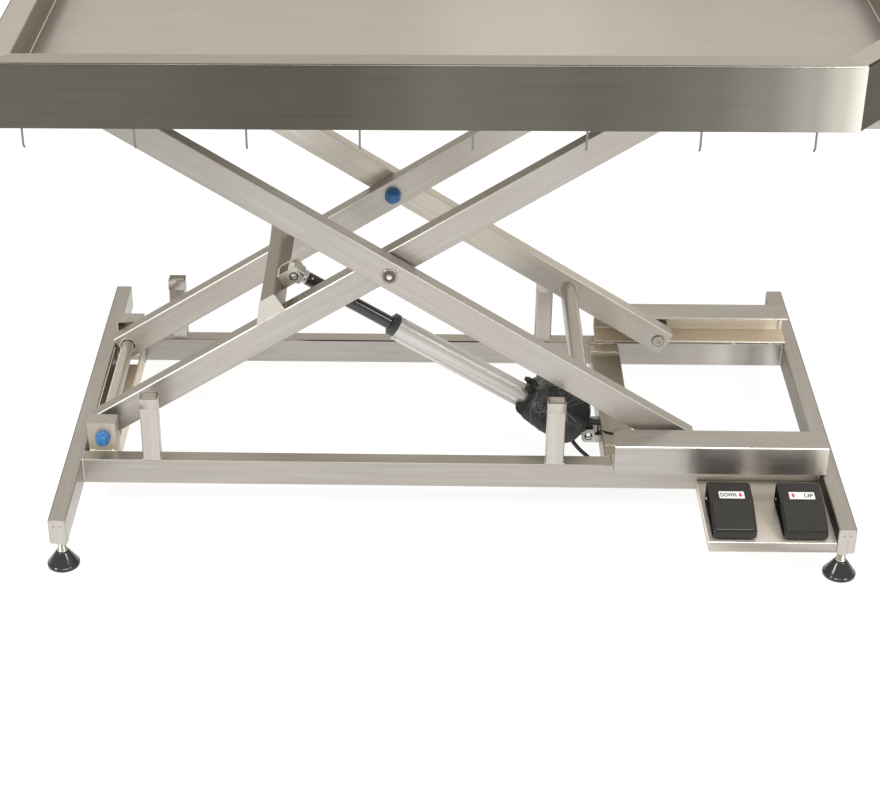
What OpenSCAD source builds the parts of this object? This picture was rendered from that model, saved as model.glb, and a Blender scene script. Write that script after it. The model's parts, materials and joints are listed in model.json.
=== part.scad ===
/* [Overall] */
// Length of the tray over its rim
tray_l = 1200; // [1000:10:1400]
// Depth of the tray over its rim, front to back
tray_d = 600; // [560:10:700]
// Angle of the scissor arms above level as drawn
lift_deg = 32.2; // [20:0.1:36]
// Distance that the tray stands to the right of the base
tray_shift = 7; // [0:1:20]

/* [Base frame] */
// Length of the base over its cross tubes
base_l = 1110; // [1080:5:1140]
// Length of a cross tube, front to back
base_d = 694; // [660:2:720]
// Width of the base tubes
tube_w = 25; // [22:1:28]
// Height of the base tubes
tube_h = 40; // [36:1:46]
// Wall of the base tubes
tube_wall = 2; // [1.5:0.25:3]
// Distance over the outer faces of the two rails
rail_span = 384; // [378:2:400]
// Height of the rest posts on the rails
post_h = 102; // [90:1:110]
// Width of a rest post along the rail
post_w = 26; // [20:1:30]
// Depth of a rest post across the rail
post_d = 20; // [16:1:22]
// Wall of a rest post
post_wall = 2; // [1.5:0.25:3]
// Distance from the left end of the base to the left posts
post_left = 126; // [110:1:150]
// Distance from the left end of the base to the right posts
post_right = 706; // [690:1:716]
// Diameter of the hole that lets hot gas out of a welded tube
vent_d = 4; // [3:0.5:6]

/* [Roller channels] */
// Outer height of the channels
ch_h = 46; // [44:1:50]
// Depth of the lower channels across the rail
ch_d = 48; // [44:1:54]
// Wall of the channels
ch_wall = 4; // [3:0.5:5]
// Length of the lower channels
ch_l = 300; // [290:2:304]
// Lap of the lower channels over the right cross tube
ch_lap = 4; // [0:1:10]
// Depth of the upper channels
top_ch_d = 38; // [34:1:44]
// Length of the upper channels
top_ch_l = 1090; // [1050:10:1100]
// Gap between the outer arms and the upper channels
top_ch_gap = 3; // [2:0.5:5]

/* [Scissor arms] */
// Distance between the end pivots of an arm
arm_l = 982; // [970:1:990]
// Height of the arm tube
arm_h = 40; // [36:1:42]
// Width of the arm tube
arm_w = 25; // [22:1:26]
// Wall of the arm tube
arm_wall = 2; // [1.5:0.25:3]
// Arm length beyond an end pivot
arm_over = 14; // [12:1:16]
// Distance over the outer faces of the inner arms
inner_span = 258; // [250:1:262]
// Gap between an inner arm and the outer arm beside it
arm_gap = 5; // [4:0.5:6]
// Distance from the left end of the base to the fixed pivot
pivot_in = 53; // [52:1:58]
// Diameter of the fixed pivot shaft
shaft_d = 20; // [16:1:22]
// Diameter of the weld bosses round the pivots
boss_d = 30; // [28:1:34]
// Diameter of the centre bolts
bolt_d = 14; // [10:1:16]
// Diameter of the roller and upper pivot pins
pin_d = 16; // [12:1:18]
// Diameter of the round brace tube
brace_d = 25; // [20:1:28]
// Wall of the round brace tube
brace_wall = 2; // [1.5:0.25:3]
// Distance from the roller end of an outer arm to the brace
brace_at = 171; // [160:1:190]
// Running gap round pivots
fit_gap = 0.05; // [0.03:0.01:0.1]

/* [Crossbar and actuator mounts] */
// Width of the crossbar along the arm
bar_w = 25; // [20:1:30]
// Height of the crossbar above the arm
bar_h = 29; // [24:1:34]
// Wall of the crossbar
bar_wall = 2; // [1.5:0.25:3]
// Distance along the arm from the fixed pivot to the crossbar
bar_at = 316.5; // [305:0.5:320]
// Distance along the arm from the fixed pivot to the rod pin
rod_pin_at = 351; // [345:1:360]
// Height of the rod pin above the arm's middle
rod_pin_up = 37; // [35:0.5:42]
// Distance of the actuator in front of the middle
act_y = 62; // [56:1:66]
// Distance from the left end of the base to the rear actuator pin
rear_pin_at = 763; // [758:1:766]
// Height of the rear actuator pin above the base's underside
rear_pin_up = 20; // [15:1:22]
// Width of the actuator cross member
member_w = 45; // [40:1:50]
// Sheet of the actuator cross member
member_wall = 3; // [2:0.5:4]
// Distance from the left end of the base to the cross member
member_at = 780; // [778:1:784]
// Thickness of the actuator lugs
lug_t = 4; // [3:0.5:5]
// Clear width between the rear lugs
lug_gap = 34; // [30:1:38]
// Clear width between the lugs of the rod bracket
fork_gap = 24; // [22:1:28]
// Diameter of the rod pin and the rear pin
act_pin_d = 10; // [8:0.5:12]

/* [Actuator] */
// Outer diameter of the piston tube
piston_d = 20; // [18:1:22]
// Wall of the piston tube
piston_wall = 2.5; // [2:0.25:3]
// Outer diameter of the aluminium tube
act_tube_d = 32; // [30:1:36]
// Wall of the aluminium tube
act_tube_wall = 2.5; // [2:0.25:3]
// Distance along the actuator from the rod pin to the collar
collar_at = 160; // [156:1:166]
// Length of the collar
collar_l = 11; // [8:1:14]
// Distance along the actuator from the rod pin to the gearbox
gearbox_at = 384; // [380:1:390]
// Length of the gearbox
gearbox_l = 52; // [46:1:56]
// Height of the gearbox
gearbox_h = 50; // [44:1:54]
// Width of the gearbox
gearbox_w = 46; // [40:1:50]
// Diameter of the motor
motor_d = 58; // [52:1:60]
// Length of the motor, across the actuator
motor_l = 62; // [56:1:66]
// Distance along the actuator from the rod pin to the middle of the motor
motor_at = 452; // [446:1:458]
// Height of the motor's middle above the actuator's axis
motor_up = 2; // [0:1:4]
// Distance of the motor's middle in front of the actuator's axis
motor_fore = 3; // [0:1:5]
// Diameter of the lead screw
screw_d = 12; // [10:1:13]
// Retraction of the actuator from the drawn pose to the lowest one
travel_in = 133; // [131:1:136]
// Diameter of the motor lead
lead_d = 6; // [5:0.5:8]

/* [Tray] */
// Sheet of the tray
tray_t = 1.5; // [1.2:0.1:2]
// Width of the flat rim
rim_w = 36; // [30:1:42]
// Height of the outer skirt
skirt_h = 87; // [80:1:92]
// Depth of the tray's floor below the rim
well_h = 43; // [38:1:48]
// Width of the lip folded in under the skirt
lip_w = 12; // [8:1:16]
// Length of a clipped corner along the front
clip_x = 110; // [90:2:120]
// Length of a clipped corner along the end
clip_y = 135; // [110:5:140]
// Height of the cross tubes under the tray
bearer_h = 34; // [30:1:38]
// Width of the cross tubes under the tray
bearer_w = 25; // [20:1:30]
// Number of hooks on each long side
hook_n = 8; // [4:1:10]
// Distance from the tray's left end to the first hook
hook_in_left = 48; // [30:1:90]
// Distance from the clipped corner to the last hook
hook_in_right = 52; // [20:1:90]
// Drop of a hook below the skirt
hook_drop = 25; // [18:1:32]
// Diameter of the hook wire
wire_d = 3; // [2.5:0.25:4]

/* [Feet] */
// Height of the base above the floor
foot_h = 48; // [44:1:60]
// Diameter of a levelling foot
foot_d = 46; // [40:1:50]
// Height of the foot's pad
pad_h = 17; // [14:1:20]
// Diameter of the foot's stud
stud_d = 12; // [10:1:12]
// Distance from the end of a cross tube to a foot
foot_in = 20; // [18:1:30]
// Width across the foot's nut
nut_w = 19; // [17:1:20]
// Travel of a foot either way
foot_travel = 8; // [4:1:8]

/* [Foot switches] */
// Distance from the end of the cross tube back to the shelf's front edge
shelf_inset = 1; // [0:1:6]
// Length of the shelf along the rail
shelf_l = 174; // [160:1:180]
// Height of the shelf's folded edge
shelf_h = 16; // [12:1:20]
// Sheet of the shelf
shelf_t = 2; // [1.5:0.25:3]
// Width of a foot switch
switch_w = 57; // [50:1:60]
// Depth of a foot switch as a share of the room in front of the channel
switch_share = 0.7; // [0.6:0.01:0.75]
// Height of the pedal at its hinge end
switch_back_h = 34; // [30:1:40]
// Height of the pedal at its toe end
switch_front_h = 15; // [12:1:24]
// Gap under the pedal's edge
switch_gap = 8; // [7:0.5:10]
// Wall of the pedal's cover
switch_wall = 2.5; // [2:0.25:3.5]
// Diameter of the pedal's hinge pin
hinge_d = 4; // [3:0.5:5]
// Distance from the left edge of the shelf to the first switch's middle
switch_in = 33; // [32:1:40]
// Distance from the shelf's front edge to the switches
switch_fore = 5; // [3:1:8]
// Distance between the two switches
switch_pitch = 97; // [80:1:100]

/* [Hidden] */

$fn = 48;
// Overrun of every cut
cut = 1;
// Gap between parts that seat on each other across a joint
seat_gap = 0.3;
// Gap between stacked faces that turn against each other
side_gap = 0.4;

// Heights and places of the base
base_x0 = -tray_shift - base_l / 2;
base_x1 = base_x0 + base_l;
base_top = foot_h + tube_h;
rail_out = rail_span / 2;
rail_in = rail_out - tube_w;

// Rollers fill the channels but for a seating gap above and below
roller_d = ch_h - 2 * ch_wall - 2 * seat_gap;
roller_w = 24;
pivot_x = base_x0 + pivot_in;
pivot_z = base_top + ch_h / 2;

// Scissor geometry at the drawn angle
run = arm_l * cos(lift_deg);
rise = arm_l * sin(lift_deg);
mid_x = pivot_x + run / 2;
mid_z = pivot_z + rise / 2;
top_pivot_z = pivot_z + rise;
roller_x = pivot_x + run;
inner_out = inner_span / 2;
outer_in = inner_out + arm_gap;
outer_out = outer_in + arm_w;

// Heights of the top
top_ch_z = top_pivot_z - ch_h / 2;
top_ch_in = outer_out + top_ch_gap;
bearer_z = top_ch_z + ch_h;
floor_z = bearer_z + bearer_h;
rim_z = floor_z + tray_t + well_h;
skirt_z = rim_z - skirt_h;

// Actuator axis, from the rod pin on the arms to the rear pin on the base
rod_x = pivot_x + rod_pin_at * cos(lift_deg) - rod_pin_up * sin(lift_deg);
rod_z = pivot_z + rod_pin_at * sin(lift_deg) + rod_pin_up * cos(lift_deg);
rear_x = base_x0 + rear_pin_at;
rear_z = foot_h + rear_pin_up;
act_len = norm([rear_x - rod_x, rear_z - rod_z]);
act_deg = atan2(rod_z - rear_z, rear_x - rod_x);

// Colours as the photo shows them
steel = [0.72, 0.70, 0.66];
bright = [0.85, 0.85, 0.84];
black = [0.07, 0.07, 0.08];
blue = [0.08, 0.35, 0.75];
alu = [0.82, 0.83, 0.84];
white = [0.92, 0.92, 0.90];

// A bar along X, Y or Z: each is a round solid with its middle at the origin
module along_x(d, l) { rotate([0, 90, 0]) cylinder(d = d, h = l, center = true); }
module along_y(d, l) { rotate([90, 0, 0]) cylinder(d = d, h = l, center = true); }

// A ring along Y
module ring_y(od, id, l) {
    difference() {
        along_y(od, l);
        along_y(id, l + 2 * cut);
    }
}

// A square tube along X from x = 0, with closed ends and a vent underneath
module closed_tube(l, w, h, wall) {
    difference() {
        translate([0, -w / 2, -h / 2]) cube([l, w, h]);
        translate([wall, -w / 2 + wall, -h / 2 + wall])
            cube([l - 2 * wall, w - 2 * wall, h - 2 * wall]);
        translate([l / 2, 0, -h / 2 - cut]) cylinder(d = vent_d, h = wall + 2 * cut);
    }
}

// A square tube along X from x = 0, open at both ends
module open_tube(l, w, h, wall) {
    difference() {
        translate([0, -w / 2, -h / 2]) cube([l, w, h]);
        translate([-cut, -w / 2 + wall, -h / 2 + wall])
            cube([l + 2 * cut, w - 2 * wall, h - 2 * wall]);
    }
}

// Everything in front is repeated behind, or the other way round
module rear() { mirror([0, 1, 0]) children(); }
module both_sides() {
    children();
    rear() children();
}

// Cross tubes and rails
module cross_tube(x) {
    color(steel) translate([x + tube_w / 2, -base_d / 2, foot_h + tube_h / 2])
        rotate([0, 0, 90]) difference() {
            closed_tube(base_d, tube_w, tube_h, tube_wall);
            for (y = [foot_in, base_d - foot_in])
                translate([y, 0, -tube_h / 2 - cut])
                    cylinder(d = stud_d + 2 * seat_gap, h = tube_wall + 2 * cut);
        }
}
module base_left_tube() { cross_tube(base_x0); }
module base_right_tube() { cross_tube(base_x1 - tube_w); }

module front_rail() {
    color(steel) translate([base_x0 + tube_w, -rail_out + tube_w / 2, foot_h + tube_h / 2])
        open_tube(base_l - 2 * tube_w, tube_w, tube_h, tube_wall);
}
module rear_rail() { rear() front_rail(); }

// A channel along X with its open side towards +Y
module channel(l, d, h, wall) {
    difference() {
        cube([l, d, h]);
        translate([-cut, wall, wall]) cube([l + 2 * cut, d, h - 2 * wall]);
    }
}
ch_x = base_x1 - tube_w + ch_lap - ch_l;
module front_roller_channel() {
    color(steel) translate([ch_x, -rail_in - ch_d, base_top]) channel(ch_l, ch_d, ch_h, ch_wall);
}
module rear_roller_channel() { rear() front_roller_channel(); }

// Folded boxes that carry the ends of the fixed shaft
block_w = 42;
block_d = 26;
block_wall = 3;
block_drop = 30;
module pivot_blocks() {
    color(steel) both_sides()
        translate([pivot_x - block_w / 2 - cut, -rail_in, base_top - block_drop]) difference() {
            cube([block_w, block_d, ch_h + block_drop]);
            translate([block_wall, block_wall, -cut])
                cube([block_w - 2 * block_wall, block_d, ch_h + block_drop - block_wall + cut]);
            translate([block_w / 2 + cut, block_d / 2, ch_h / 2 + block_drop])
                along_y(shaft_d, block_d + 2 * cut);
        }
}

shaft_end = rail_in + seat_gap;
module pivot_shaft() {
    color(steel) translate([pivot_x, 0, pivot_z]) along_y(shaft_d, 2 * shaft_end);
}

// Blue caps pushed on the ends of the fixed shaft
cap_d = 24;
cap_l = 16;
cap_dome = 4;
module end_cap() {
    rotate([90, 0, 0]) rotate_extrude() polygon([
        [0, 0], [cap_d / 2, 0], [cap_d / 2, cap_l - cap_dome],
        [cap_d / 2 - cap_dome, cap_l], [0, cap_l]]);
}
module shaft_caps() {
    color(blue) both_sides() translate([pivot_x, -shaft_end, pivot_z]) end_cap();
}

// Open trough under the fixed shaft, from rail to rail
trough_w = 46;
trough_h = 34;
trough_wall = 2.5;
trough_drop = 1;
module shaft_trough() {
    color(steel)
        translate([base_x0 + tube_w, -rail_in + block_d, base_top - trough_h - trough_drop])
            difference() {
                cube([trough_w, 2 * (rail_in - block_d), trough_h]);
                translate([trough_wall, -cut, trough_wall])
                    cube([trough_w - 2 * trough_wall, 2 * (rail_in - block_d) + 2 * cut, trough_h]);
            }
}

// Short tubes that the top frame comes down on, with plates set in their tops
post_plate_drop = 3;
module rest_posts() {
    color(steel) both_sides() for (x = [post_left, post_right])
        translate([base_x0 + x - post_w / 2, -rail_out, base_top]) {
            difference() {
                cube([post_w, post_d, post_h]);
                translate([post_wall, post_wall, -cut])
                    cube([post_w - 2 * post_wall, post_d - 2 * post_wall, post_h + 2 * cut]);
            }
            translate([post_wall, post_wall, post_h - post_plate_drop - post_wall])
                cube([post_w - 2 * post_wall, post_d - 2 * post_wall, post_wall]);
        }
}

// Folded member across the base that takes the thrust of the actuator
member_step = 47;
step_drop = 2;
module fold(w, l, h, wall) {
    difference() {
        cube([w, l, h]);
        translate([wall, -cut, -cut]) cube([w - 2 * wall, l + 2 * cut, h - wall + cut]);
    }
}
module actuator_cross_member() {
    color(steel) translate([base_x0 + member_at, 0, foot_h]) {
        translate([0, -rail_in, 0])
            fold(member_w, 2 * rail_in - member_step, tube_h, member_wall);
        translate([0, rail_in - member_step, 0])
            fold(member_w, member_step, tube_h - step_drop, member_wall);
    }
}

// Two lugs for the rear pin of the actuator, with the pin's heads outside them
lug_r = 10;
lug_clip = 4;
pin_sink = 1.5;
head_d = 15;
head_t = 5;
module rear_lug() {
    lug_l = base_x0 + member_at - rear_x;
    rotate([90, 0, 0]) linear_extrude(lug_t, center = true) polygon([
        [-lug_r + lug_clip, -lug_r], [lug_l, -lug_r], [lug_l, lug_r],
        [-lug_r + lug_clip, lug_r], [-lug_r, lug_r - lug_clip], [-lug_r, -lug_r + lug_clip]]);
}
module actuator_lugs() {
    color(bright) for (s = [-1, 1])
        translate([rear_x, -act_y + s * (lug_gap + lug_t) / 2, rear_z]) difference() {
            rear_lug();
            translate([0, s * (lug_t - pin_sink), 0]) along_y(act_pin_d, lug_t);
        }
}

// Sheet shelf for the foot switches, with its edges folded down
shelf_d = base_d / 2 - rail_out - shelf_inset;
shelf_x = base_x1 - tube_w - shelf_l;
shelf_top = foot_h + shelf_h;
switch_z = shelf_top;
switch_d = switch_share * (base_d / 2 - shelf_inset - rail_in - ch_d);
switch_y0 = -rail_out - shelf_d + switch_fore;
function switch_x(i) = shelf_x + switch_in + i * switch_pitch;
module pedal_shelf() {
    color(steel) translate([shelf_x, -rail_out - shelf_d, foot_h]) difference() {
        cube([shelf_l, shelf_d, shelf_h]);
        translate([shelf_t, shelf_t, -cut])
            cube([shelf_l - 2 * shelf_t, shelf_d - 2 * shelf_t, shelf_h - shelf_t + cut]);
    }
}

// Levelling feet: nuts under the tubes, and a pad with a stud at each corner
weld_nut_h = 10;
lock_nut_h = 6;
function foot_x(i) = i == 0 ? base_x0 + tube_w / 2 : base_x1 - tube_w / 2;
foot_y = base_d / 2 - foot_in;
module nut(h, flats) {
    difference() {
        cylinder(d = flats, h = h, $fn = 6);
        translate([0, 0, -cut]) cylinder(d = stud_d + 2 * fit_gap, h = h + 2 * cut);
    }
}
module foot_nuts() {
    color(bright) both_sides() for (i = [0, 1])
        translate([foot_x(i), -foot_y, foot_h - weld_nut_h]) nut(weld_nut_h, nut_w);
}
pad_rim_h = 5;
pad_neck_d = 22;
socket_d = 14;
stud_up = 2 * foot_travel + tube_wall;
module levelling_foot(i) {
    translate([foot_x(i), -foot_y, 0]) {
        color(black) rotate_extrude() polygon([
            [0, 0], [foot_d / 2 - cut, 0], [foot_d / 2, cut], [foot_d / 2, pad_rim_h],
            [pad_neck_d / 2, pad_h], [0, pad_h]]);
        color(bright) translate([0, 0, pad_h]) {
            cylinder(d = socket_d, h = lock_nut_h / 2);
            cylinder(d = stud_d, h = foot_h + stud_up - pad_h);
            translate([0, 0, lock_nut_h / 2]) cylinder(d = nut_w, h = lock_nut_h, $fn = 6);
        }
    }
}
module levelling_foot_front_left() { levelling_foot(0); }
module levelling_foot_front_right() { levelling_foot(1); }
module levelling_foot_rear_left() { rear() levelling_foot(0); }
module levelling_foot_rear_right() { rear() levelling_foot(1); }

// An arm with its middle pivot at the origin, its tube along X, and a bore at each pivot
module arm_body(d_left, d_mid, d_right) {
    difference() {
        union() {
            translate([-arm_l / 2 - arm_over, 0, 0])
                closed_tube(arm_l + 2 * arm_over, arm_w, arm_h, arm_wall);
            for (x = [-arm_l / 2, 0, arm_l / 2])
                translate([x, 0, 0]) intersection() {
                    along_y(boss_d, arm_w);
                    cube([2 * boss_d, arm_w, arm_h], center = true);
                }
        }
        translate([-arm_l / 2, 0, 0]) along_y(d_left, arm_w + 2 * cut);
        along_y(d_mid, arm_w + 2 * cut);
        translate([arm_l / 2, 0, 0]) along_y(d_right, arm_w + 2 * cut);
    }
}
module in_inner() { translate([mid_x, 0, mid_z]) rotate([0, -lift_deg, 0]) children(); }
module in_outer() { translate([mid_x, 0, mid_z]) rotate([0, lift_deg, 0]) children(); }
bush_wall = 3;
bush_d = shaft_d + 2 * bush_wall;
module inner_arm() {
    in_inner() translate([0, -inner_out + arm_w / 2, 0]) arm_body(bush_d, bolt_d, pin_d);
}
module front_inner_arm() { color(steel) inner_arm(); }
module rear_inner_arm() { color(steel) rear() inner_arm(); }

// Plain bushes in the inner arms that turn on the fixed shaft
module arm_bushes() {
    color(white) both_sides() translate([pivot_x, -inner_out + arm_w / 2, pivot_z])
        ring_y(bush_d, shaft_d + 2 * fit_gap, arm_w);
}

module outer_arm() {
    in_outer() translate([0, -outer_out + arm_w / 2, 0])
        arm_body(pin_d, bolt_d + 2 * fit_gap, pin_d);
}
module front_outer_arm() { color(steel) outer_arm(); }
module rear_outer_arm() { color(steel) rear() outer_arm(); }

// Square tube across the inner arms, with a gusset plate at each end
bar_x = bar_at - arm_l / 2;
gusset_t = 3;
gusset_foot = 24;
module arm_crossbar() {
    color(steel) in_inner() {
        translate([bar_x, -inner_out + gusset_t, arm_h / 2 + bar_h / 2]) rotate([0, 0, 90])
            open_tube(inner_span - 2 * gusset_t, bar_w, bar_h, bar_wall);
        both_sides() translate([bar_x, -inner_out + gusset_t, arm_h / 2]) rotate([90, 0, 0])
            linear_extrude(gusset_t) polygon([
                [-bar_w / 2 - gusset_foot, 0], [bar_w / 2, 0], [bar_w / 2, bar_h],
                [-bar_w / 2, bar_h]]);
    }
}

// Fork on the crossbar that holds the rod pin
fork_r = 12;
fork_x = rod_pin_at - arm_l / 2;
fork_reach = rod_pin_at - bar_at - bar_w / 2;
module rod_bracket() {
    color(bright) in_inner() translate([fork_x, -act_y, rod_pin_up]) {
        for (s = [-1, 1]) translate([0, s * (fork_gap + lug_t) / 2, 0]) difference() {
            union() {
                along_y(2 * fork_r, lug_t);
                translate([-fork_reach, -lug_t / 2, -fork_r]) cube([fork_reach, lug_t, 2 * fork_r]);
            }
            along_y(act_pin_d, lug_t + 2 * cut);
        }
        translate([-fork_reach, -fork_gap / 2, -fork_r]) cube([lug_t, fork_gap, 2 * fork_r]);
    }
}
module rod_pin() {
    color(bright) translate([rod_x, -act_y, rod_z]) {
        along_y(act_pin_d, fork_gap + 2 * lug_t);
        for (s = [-1, 1])
            translate([0, s * (fork_gap / 2 + lug_t + head_t / 2), 0]) along_y(head_d, head_t);
    }
}

// Shaft through the upper ends of the inner arms, and the pins of the outer arms
roller_y = rail_in + ch_d - ch_wall - side_gap - roller_w;
top_roller_y = top_ch_in + top_ch_d - ch_wall - side_gap - roller_w;
module upper_roller_shaft() {
    color(bright) translate([roller_x, 0, top_pivot_z])
        along_y(pin_d, 2 * (top_roller_y + roller_w - side_gap));
}
pin_head_t = 2;
module pin_head(y) {
    translate([0, y, 0]) along_y(pin_d + 2 * pin_head_t, pin_head_t);
}
module lower_roller_axles() {
    axle_l = roller_y + roller_w - side_gap - outer_in;
    color(bright) both_sides() translate([roller_x, 0, pivot_z]) {
        translate([0, -outer_in - axle_l / 2, 0]) along_y(pin_d, axle_l);
        pin_head(-outer_in + pin_head_t / 2);
    }
}

// Blocks in the left ends of the upper channels take the pins of the outer arms
top_block_w = 44;
top_block_t = 20;
module upper_pivot_pins() {
    pin_l = arm_w + top_ch_gap + top_block_t - side_gap;
    color(bright) both_sides() translate([pivot_x, 0, top_pivot_z]) {
        translate([0, -outer_in - pin_l / 2, 0]) along_y(pin_d, pin_l);
        pin_head(-outer_in + pin_head_t / 2);
    }
}

// Bolts through the crossing of the arms, headed outside and capped inside
washer_d = 26;
washer_t = 1.5;
bolt_head_d = 17;
bolt_head_t = 5;
nut_t = 5;
module centre_bolts() {
    bolt_l = 2 * arm_w + arm_gap + washer_t + side_gap;
    color(bright) both_sides() translate([mid_x, 0, mid_z]) {
        translate([0, -outer_out - side_gap - washer_t + bolt_l / 2, 0]) along_y(bolt_d, bolt_l);
        translate([0, -outer_out - side_gap - washer_t / 2, 0])
            ring_y(washer_d, bolt_d, washer_t);
        translate([0, -inner_out - (arm_gap - side_gap) / 2, 0])
            ring_y(washer_d, bolt_d, arm_gap - side_gap);
        translate([0, -outer_out - side_gap - washer_t, 0]) rotate([90, 0, 0])
            rotate_extrude() polygon([
                [0, 0], [bolt_head_d / 2, 0], [bolt_head_d / 2 - washer_t, bolt_head_t],
                [0, bolt_head_t]]);
    }
}
module centre_cap_nuts() {
    color(blue) both_sides() translate([mid_x, -inner_out + arm_w, mid_z]) rear() end_cap();
}

// Round brace between the outer arms
module arm_brace_tube() {
    color(steel) in_outer() translate([arm_l / 2 - brace_at, 0, 0])
        ring_y(brace_d, brace_d - 2 * brace_wall, 2 * outer_in);
}

// Rollers with a plain bore
module roller(x, y, z) {
    color(black) translate([x, -y - roller_w / 2, z])
        ring_y(roller_d, pin_d + 2 * fit_gap, roller_w);
}
module front_lower_roller() { roller(roller_x, roller_y, pivot_z); }
module rear_lower_roller() { rear() front_lower_roller(); }
module front_upper_roller() { roller(roller_x, top_roller_y, top_pivot_z); }
module rear_upper_roller() { rear() front_upper_roller(); }

// Outline of the tray, set in by d, and the strip between two insets along side k
clip_h = norm([clip_x, clip_y]);
function tray_pts(d) = let (x = tray_l / 2, y = tray_d / 2,
        a = x - clip_x - d * (clip_h - clip_x) / clip_y,
        b = -y + clip_y + d * (clip_h - clip_y) / clip_x)
    [[-x + d, -y + d], [a, -y + d], [x - d, b], [x - d, -b], [a, y - d], [-x + d, y - d]];
module strip(k, d0, d1, z0, z1) {
    a = tray_pts(d0);
    b = tray_pts(d1);
    j = (k + 1) % 6;
    translate([0, 0, z0]) linear_extrude(z1 - z0) polygon([a[k], a[j], b[j], b[k]]);
}
module tray_side(k) {
    color(steel) {
        strip(k, 0, tray_t, skirt_z, rim_z);
        strip(k, 0, rim_w, rim_z - tray_t, rim_z);
        strip(k, rim_w - tray_t, rim_w, floor_z, rim_z);
        strip(k, 0, lip_w, skirt_z, skirt_z + tray_t);
    }
}
module tray_front_side() { tray_side(0); }
module tray_right_end() { tray_side(2); }
module tray_rear_side() { tray_side(4); }
module tray_left_end() { tray_side(5); }
module tray_corners() {
    tray_side(1);
    tray_side(3);
}
module tray_floor() {
    color(steel) translate([0, 0, floor_z]) linear_extrude(tray_t) polygon(tray_pts(rim_w));
}

// Upper channels, each with a pivot block in its left end
module top_channel() {
    color(steel) {
        translate([-top_ch_l / 2, -top_ch_in - top_ch_d, top_ch_z])
            channel(top_ch_l, top_ch_d, ch_h, ch_wall);
        translate([pivot_x, -top_ch_in - top_block_t / 2, top_pivot_z]) difference() {
            cube([top_block_w, top_block_t, ch_h - 2 * ch_wall], center = true);
            along_y(pin_d + 2 * fit_gap, top_block_t + 2 * cut);
        }
    }
}
module front_top_channel() { top_channel(); }
module rear_top_channel() { rear() top_channel(); }

// Cross tubes between the upper channels and the tray's floor
bearer_span = 2 * (top_ch_in + top_ch_d);
bearer_shares = [-0.37, 0.02, 0.432];
module top_cross_tubes() {
    color(steel) for (s = bearer_shares)
        translate([s * tray_l, -bearer_span / 2, bearer_z + bearer_h / 2])
            rotate([0, 0, 90]) closed_tube(bearer_span, bearer_w, bearer_h, tube_wall);
}

// Wire hooks under the long sides
bend_r = 4;
tip_l = 5;
hook_x0 = -tray_l / 2 + hook_in_left;
hook_pitch = (tray_l - clip_x - hook_in_left - hook_in_right) / (hook_n - 1);
module hook() {
    rotate([180, 0, 0]) cylinder(d = wire_d, h = hook_drop - bend_r);
    translate([0, -bend_r, -hook_drop + bend_r]) rotate([0, 90, 0])
        rotate_extrude(angle = 90) translate([bend_r, 0]) circle(d = wire_d);
    translate([0, -bend_r, -hook_drop]) rotate([90, 0, 0]) cylinder(d = wire_d, h = tip_l);
}
module tray_hooks() {
    color(bright) both_sides() for (i = [0 : hook_n - 1])
        translate([hook_x0 + i * hook_pitch, -tray_d / 2 + wire_d / 2 + tray_t, skirt_z])
            hook();
}

// Pieces of the actuator, along X from the rod pin
module on_actuator() {
    translate([rod_x, -act_y, rod_z]) rotate([0, act_deg, 0]) children();
}
module bar_at(x0, x1, d) {
    translate([(x0 + x1) / 2, 0, 0]) along_x(d, x1 - x0);
}
tube_bore = act_tube_d - 2 * act_tube_wall;
flat_w = 27;
module actuator_tube() {
    tube_x0 = collar_at + collar_l;
    tube_l = gearbox_at - tube_x0;
    color(alu) on_actuator() difference() {
        union() {
            bar_at(tube_x0, gearbox_at, act_tube_d);
            translate([tube_x0, -flat_w / 2, -act_tube_d / 2])
                cube([tube_l, flat_w, act_tube_d / 2]);
        }
        bar_at(tube_x0 - cut, gearbox_at + cut, tube_bore);
    }
}
collar_d = act_tube_d + 2;
module tube_collar() {
    color([0.2, 0.2, 0.21]) on_actuator() difference() {
        bar_at(collar_at, collar_at + collar_l, collar_d);
        bar_at(collar_at - cut, collar_at + collar_l + cut, piston_d + 2 * fit_gap);
    }
}

// Gearbox in line with the tube, and a motor across it with the rear eye behind
eye_r = 9;
eye_t = 22;
bearing_l = 12;
module motor_can(d, l) {
    translate([motor_at, -motor_fore, motor_up]) along_y(d, l);
}
module gearbox_housing() {
    color(black) on_actuator() difference() {
        translate([gearbox_at, -gearbox_w / 2, -gearbox_h / 2])
            cube([gearbox_l, gearbox_w, gearbox_h]);
        motor_can(motor_d, motor_l);
        bar_at(gearbox_at - cut, gearbox_at + bearing_l, screw_d + 2 * fit_gap);
    }
}
rear_pin_l = lug_gap - 2 * seat_gap;
module motor_housing() {
    color(black) on_actuator() {
        motor_can(motor_d, motor_l);
        translate([motor_at, -eye_t / 2, -eye_r]) cube([act_len - motor_at, eye_t, 2 * eye_r]);
        translate([act_len, 0, 0]) along_y(2 * eye_r, eye_t);
        translate([act_len, 0, 0]) along_y(act_pin_d, rear_pin_l);
    }
}

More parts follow.
